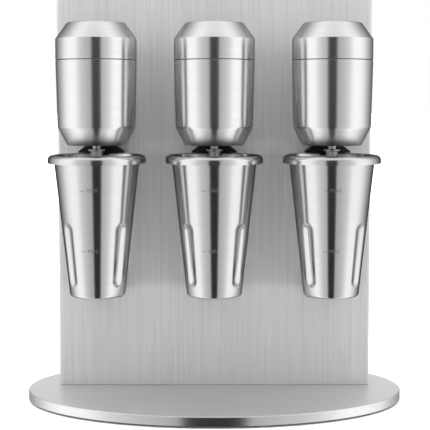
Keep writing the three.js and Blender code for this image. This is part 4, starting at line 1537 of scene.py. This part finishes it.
@dataclass
class MixingCup:
    """A tapered steel cup with a rolled rim, pressed flutes and two level marks."""

    side: str
    wall: float = 0.9
    mouth_radius: float = 50.3
    bottom_radius: float = 32.0
    bottom_round: float = 4.0
    rim_height: float = 9.4
    rim_round: float = 5.4
    flute_turn: float = 41.5  # from the cup's left or right to a flute's middle
    flute_depth: float = 2.3
    flute_half_angle: float = 12.5
    flute_bottom: float = 12.5
    flute_length: float = 75.0
    row_spacing: float = 1.6
    segments: int = 192
    mark_heights: dict[str, float] = field(default_factory=lambda: {"MAX": 126.5, "MIN": 56.5})
    mark_size: float = 6.2
    mark_start: float = -6.8  # where a word starts, from the cup's middle
    mark_relief: float = 0.04
    tick_span: tuple[float, float] = (-14.0, -9.2)
    tick_cuts: tuple[float, ...] = (-12.4, -10.8)
    tick_drop: tuple[float, float] = (1.1, 0.4)  # of its lower and upper edge
    height: float = field(init=False)
    rim_radius: float = field(init=False)
    floor: float = field(init=False)

    def __post_init__(self) -> None:
        """Takes the cup's height, width and place from its CAD node."""
        low, high = spot(self.body)
        self.height = high.z - low.z
        self.rim_radius = (high.x - low.x) / 2
        self.floor = low.z

    @property
    def body(self) -> str:
        """The cup's CAD node, which is also its body.

        Returns:
            The node's name.
        """
        return f"cup_{self.side}"

    def build(self) -> None:
        """Makes the cup and its marks."""
        self.vessel()
        self.marks()

    def radius_at(self, height: float) -> float:
        """The wall's outer radius at a height.

        Args:
            height: Above the cup's bottom.

        Returns:
            The radius.
        """
        return self.bottom_radius + (self.mouth_radius - self.bottom_radius) * height / self.height

    def press(self, angle: float, height: float) -> float:
        """How far a flute draws the wall in at a place.

        Args:
            angle: Round the cup, from its rear.
            height: Above its bottom.

        Returns:
            The depth in millimetres.
        """
        half_angle = math.radians(self.flute_half_angle)
        from_side = abs(abs(angle) - math.pi / 2)
        away = abs(from_side - math.radians(self.flute_turn)) / half_angle
        half_width = half_angle * self.radius_at(height)
        low = self.flute_bottom + half_width
        high = self.flute_bottom + self.flute_length - half_width
        beyond = max(low - height, height - high, 0) / half_width
        reach = math.hypot(away, beyond)
        if reach >= 1:
            return 0.0
        return self.flute_depth * math.cos(math.pi * reach / 2) ** 1.25

    def vessel(self) -> None:
        """The spun cup with its flutes pressed in."""
        top = self.height
        under_rim = top - 2 * self.wall
        margin = 3.0
        count = int((self.flute_length + 2 * margin) / self.row_spacing)
        rows = [self.flute_bottom - margin + self.row_spacing * step for step in range(count + 1)]
        outer = [(self.radius_at(row), row) for row in rows]
        inner = [(self.radius_at(row) - self.wall, row) for row in reversed(rows)]
        corners = [
            (0, 1.2),
            (self.bottom_radius - 6, 1.2, 4),
            (self.bottom_radius - 3.6, 0, 0.8),
            (self.radius_at(0), 0, self.bottom_round - 1.2),
            *outer,
            (self.radius_at(under_rim), under_rim, 0.6),
            (self.rim_radius - self.wall, under_rim, self.rim_round - self.wall),
            (self.rim_radius - self.wall, top - self.rim_height),
            (self.rim_radius, top - self.rim_height),
            (self.rim_radius, top, self.rim_round),
            (self.mouth_radius - self.wall, top, 1.6),
            *inner,
            (self.radius_at(0) - self.wall, self.wall + 0.6, self.bottom_round - self.wall),
            (0, self.wall + 1.2),
        ]
        blank = Blank.turned(corners, self.segments, 6)
        for vert in blank.shape.verts:
            radius = vert.co.xy.length
            depth = self.press(math.atan2(vert.co.x, vert.co.y), vert.co.z)
            if depth and radius > self.bottom_radius * 0.8:
                vert.co.xy *= (radius - depth) / radius
        blank.moved(*axis_of(self.body), self.floor)
        name = f"mixing_cup_{self.side}"
        blank.piece(name, Finishes.CUP, "cup_steel", self.body, [self.body], smooth_below=40)

    def marks(self) -> None:
        """The etched level marks: a short line and a word at each level."""
        group = Blank()
        for word, height in self.mark_heights.items():
            group.joined(self.lettering(word, height), self.tick(height))
        for vert in group.shape.verts:
            wall = self.radius_at(vert.co.z)
            radius = wall + vert.co.y
            angle = vert.co.x / wall
            vert.co = (radius * math.sin(angle), -radius * math.cos(angle), vert.co.z)
        group.moved(*axis_of(self.body), self.floor)
        group.piece(f"level_marks_{self.side}", Finishes.ETCH, "cup_steel", self.body)

    def tick(self, height: float) -> Blank:
        """The line beside a word, flat in the XZ plane and standing proud along Y.

        Args:
            height: Where the word's middle lies above the cup's bottom.

        Returns:
            The line.
        """
        start, end = self.tick_span
        low, high = (height - drop for drop in self.tick_drop)
        line = Blank.block((start, -0.02, low), (end, 0.06, high))
        for place in self.tick_cuts:
            line.cut_at(place, 0, line.shape.faces)
        return line

    def lettering(self, word: str, height: float) -> Blank:
        """A word as a thin plate, flat in the XZ plane.

        Args:
            word: What it says.
            height: Where its middle lies above the cup's bottom.

        Returns:
            The word's plate.
        """
        curve = bpy.data.curves.new("word", "FONT")
        curve.body = word
        curve.size = self.mark_size
        curve.extrude = self.mark_relief
        curve.resolution_u = 3
        carrier = bpy.data.objects.new("word", curve)
        bpy.context.scene.collection.objects.link(carrier)
        outcome = carrier.evaluated_get(bpy.context.evaluated_depsgraph_get())
        mesh = bpy.data.meshes.new_from_object(outcome)
        blank = Blank()
        blank.shape.from_mesh(mesh)
        bpy.data.objects.remove(carrier)
        bpy.data.curves.remove(curve)
        bpy.data.meshes.remove(mesh)
        bmesh.ops.remove_doubles(blank.shape, verts=blank.shape.verts, dist=1e-4)
        blank.turned_about("X", 90)
        return blank.moved(self.mark_start, 0.0, height - self.mark_size * 0.35)


@dataclass
class CupRest:
    """The shelf that a cup stands on."""

    side: str
    rounding: float = 0.8
    screw_radius: float = 2.4
    screw_height: float = 1.4
    screw_inset: float = 6.0
    screw_rise: float = 4.0
    foot_thickness: float = 3.0

    def build(self) -> None:
        """Makes the shelf and its screws."""
        node = f"cup_rest_{self.side}"
        blank = Blank.like(node, self.rounding, 3)
        blank.piece(f"rest_{self.side}", Finishes.BLACK, "black_plastic", replaces=[node])
        low, high = spot(node)
        group = Blank()
        for x in (low.x + self.screw_inset, high.x - self.screw_inset):
            head = screw(self.screw_radius, self.screw_height).turned_about("X", 90)
            group.joined(head.moved(x, high.y - self.foot_thickness, low.z + self.screw_rise))
        group.piece(f"rest_screws_{self.side}", Finishes.ZINC, "zinc_steel")


@dataclass
class SpeedSwitch:
    """A rocker switch in the rear cover."""

    side: str
    face_middle: float = 59.6  # how far back the middle of the rocker's face lies
    mark_rise: float = 0.27  # of the rocker's height, from its middle to a mark
    mark_relief: float = 0.1
    bar_size: tuple[float, float] = (0.9, 4.4)
    ring_radii: tuple[float, float] = (1.6, 2.3)

    def build(self) -> None:
        """Makes the switch's frame, its rocker and the rocker's marks."""
        frame_node = f"speed_switch_{self.side}"
        rocker_node = f"speed_rocker_{self.side}"
        frame = Blank.like(frame_node, MOULDED_EDGE)
        name = f"switch_frame_{self.side}"
        frame.piece(name, Finishes.BLACK, "black_plastic", replaces=[frame_node])
        rocker = Blank.like(rocker_node, 0.5, 3)
        name = f"rocker_{self.side}"
        rocker.piece(name, Finishes.BLACK, "black_plastic", rocker_node, [rocker_node])
        self.marks(rocker_node)

    def marks(self, node: str) -> None:
        """A bar and a ring inlaid in the rocker's face.

        Args:
            node: The rocker's CAD node and body.
        """
        low, high = spot(node)
        middle_x, middle_z = (low.x + high.x) / 2, (low.z + high.z) / 2
        rise = (high.z - low.z) * self.mark_rise
        slope = math.degrees(math.atan2(high.y - self.face_middle, (high.z - low.z) / 2))
        face = (high.y + self.face_middle) / 2 + self.mark_relief
        width, height = self.bar_size
        bar = Blank.block((-width / 2, -0.1, -height / 2), (width / 2, 0.15, height / 2), 0.05, 1)
        bar.turned_about("X", -slope).moved(middle_x, face, middle_z + rise)
        inner, outer = self.ring_radii
        outline = [(inner, 0), (outer, 0), (outer, 0.25), (inner, 0.25)]
        ring = Blank.turned(outline, 40, 1, ring=True)
        ring.turned_about("X", -90).turned_about("X", slope)
        ring.moved(middle_x, face, middle_z - rise)
        bar.joined(ring).piece(f"rocker_marks_{self.side}", Finishes.MARKING, "black_plastic", node)


# ---- Studio ----


@dataclass
class Studio:
    """A pale floor, soft light from all round and the camera."""

    # How bright the surroundings are, by degrees to either side of straight ahead of the mixer.
    surroundings: tuple[tuple[float, float], ...] = (
        (0, 0.4),
        (15, 0.44),
        (25, 0.5),
        (40, 0.62),
        (58, 0.98),
        (76, 1.0),
        (93, 0.86),
        (104, 0.66),
        (116, 0.5),
        (134, 0.36),
        (150, 0.3),
        (165, 0.8),
        (180, 0.9),
    )
    # The ceiling's brightness, and the rise in degrees over which the walls give way to it.
    overhead: float = 0.9
    overhead_from: float = 35.0
    overhead_full: float = 90.0
    brightness: float = 1.06
    flag_width: float = 580.0
    flag_bottom: float = -4000.0
    flag_top: float = 1200.0
    flag_gap: float = 50.0  # behind the camera
    # The light that only matt surfaces get, from the side and from above.
    fill_side: float = 0.9
    fill_top: float = 3.0
    fill_rise: tuple[float, float] = (10.0, 60.0)
    floor_size: float = 60000.0
    camera_place: tuple[float, float, float] = (0.0, -1.2631, 0.3654)
    camera_pitch: float = 3.4
    lens: float = 86.73
    shift: tuple[float, float] = (0.0016, -0.1214)

    def build(self) -> None:
        """Makes the floor, the surroundings and the camera."""
        self.floor()
        self.flag()
        self.world()
        self.camera()
        bpy.context.scene.view_settings.view_transform = "Standard"

    def floor(self) -> None:
        """A wide pale floor."""
        paper, graph, shader = new_material("floor_paper")
        fibres = graph.noise(graph.stretched((40.0,) * 3), 1.0, 3.0)
        shade = graph.remap(fibres, NOISE_RANGE, (0.995, 1.0))
        graph.feed(shader.inputs["Base Color"], graph.tint((0.93, 0.93, 0.93), shade))
        shader.inputs["Roughness"].default_value = 0.9
        shader.inputs["Specular IOR Level"].default_value = 0.0
        made = Blank.disc(self.floor_size, self.floor_size, 0, 64).placed("floor", paper)
        made.visible_glossy = False

    def flag(self) -> None:
        """A black flag behind the camera, seen only as a dark band in the steel."""
        low = (-self.flag_width / 2, -2, self.flag_bottom)
        high = (self.flag_width / 2, 2, self.flag_top)
        blank = Blank.block(low, high).moved(0, self.camera_place[1] / MM - self.flag_gap)
        made = blank.placed("flag", Finishes.get(Finishes.FLAG))
        for reason in ("camera", "diffuse", "shadow", "transmission"):
            setattr(made, f"visible_{reason}", False)

    def world(self) -> None:
        """Light by direction: dim straight ahead, two soft walls and a bright ceiling."""
        world = bpy.data.worlds.new("studio")
        bpy.context.scene.world = world
        world.use_nodes = True
        graph = Graph(world.node_tree)
        graph.tree.nodes.clear()
        direction = graph.node("ShaderNodeTexCoord").outputs["Generated"]
        parts = graph.node("ShaderNodeSeparateXYZ")
        graph.feed(parts.inputs[0], direction)
        x, y, z = parts.outputs
        around = graph.math("ARCTAN2", x, graph.math("MULTIPLY", y, -1.0))
        aside = graph.math("DIVIDE", graph.math("ABSOLUTE", around), math.pi)
        walls = graph.ramp(aside, [(degrees / 180, level) for degrees, level in self.surroundings])
        rise = graph.math("DEGREES", graph.math("ARCSINE", z))
        height = graph.remap(rise, (self.overhead_from, self.overhead_full), (0.0, 1.0), True)
        room = graph.mix(height, walls, self.overhead)
        glow = graph.math("MULTIPLY", room, self.brightness)
        fill = graph.remap(rise, self.fill_rise, (self.fill_side, self.fill_top))
        path = graph.node("ShaderNodeLightPath")
        lit = graph.mix(path.outputs["Is Diffuse Ray"], glow, fill)
        seen = graph.mix(path.outputs["Is Camera Ray"], lit, 1.0)
        background = graph.node("ShaderNodeBackground")
        background.inputs["Color"].default_value = (1.0, 1.0, 1.0, 1.0)
        graph.feed(background.inputs["Strength"], seen)
        output = graph.node("ShaderNodeOutputWorld")
        graph.feed(output.inputs["Surface"], background.outputs[0])
        world.cycles.sampling_method = "NONE"

    def camera(self) -> None:
        """The camera, a little above the cups and tilted down."""
        data = bpy.data.cameras.new("camera")
        data.lens = self.lens
        data.sensor_width = 36.0
        data.shift_x, data.shift_y = self.shift
        made = bpy.data.objects.new("camera", data)
        made.location = self.camera_place
        made.rotation_euler = (math.radians(90 - self.camera_pitch), 0.0, 0.0)
        bpy.context.scene.collection.objects.link(made)
        bpy.context.scene.camera = made


def main() -> None:
    """Builds the mixer and its studio."""
    logging.basicConfig(level=logging.INFO, format="%(name)s %(message)s")
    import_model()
    Studio().build()
    Base().build()
    Column().build()
    for side in SIDES:
        MotorHead(side).build()
        Spindle(side).build()
        StartLever(side).build()
        MixingCup(side).build()
        CupRest(side).build()
        SpeedSwitch(side).build()


if __name__ == "__main__":
    main()
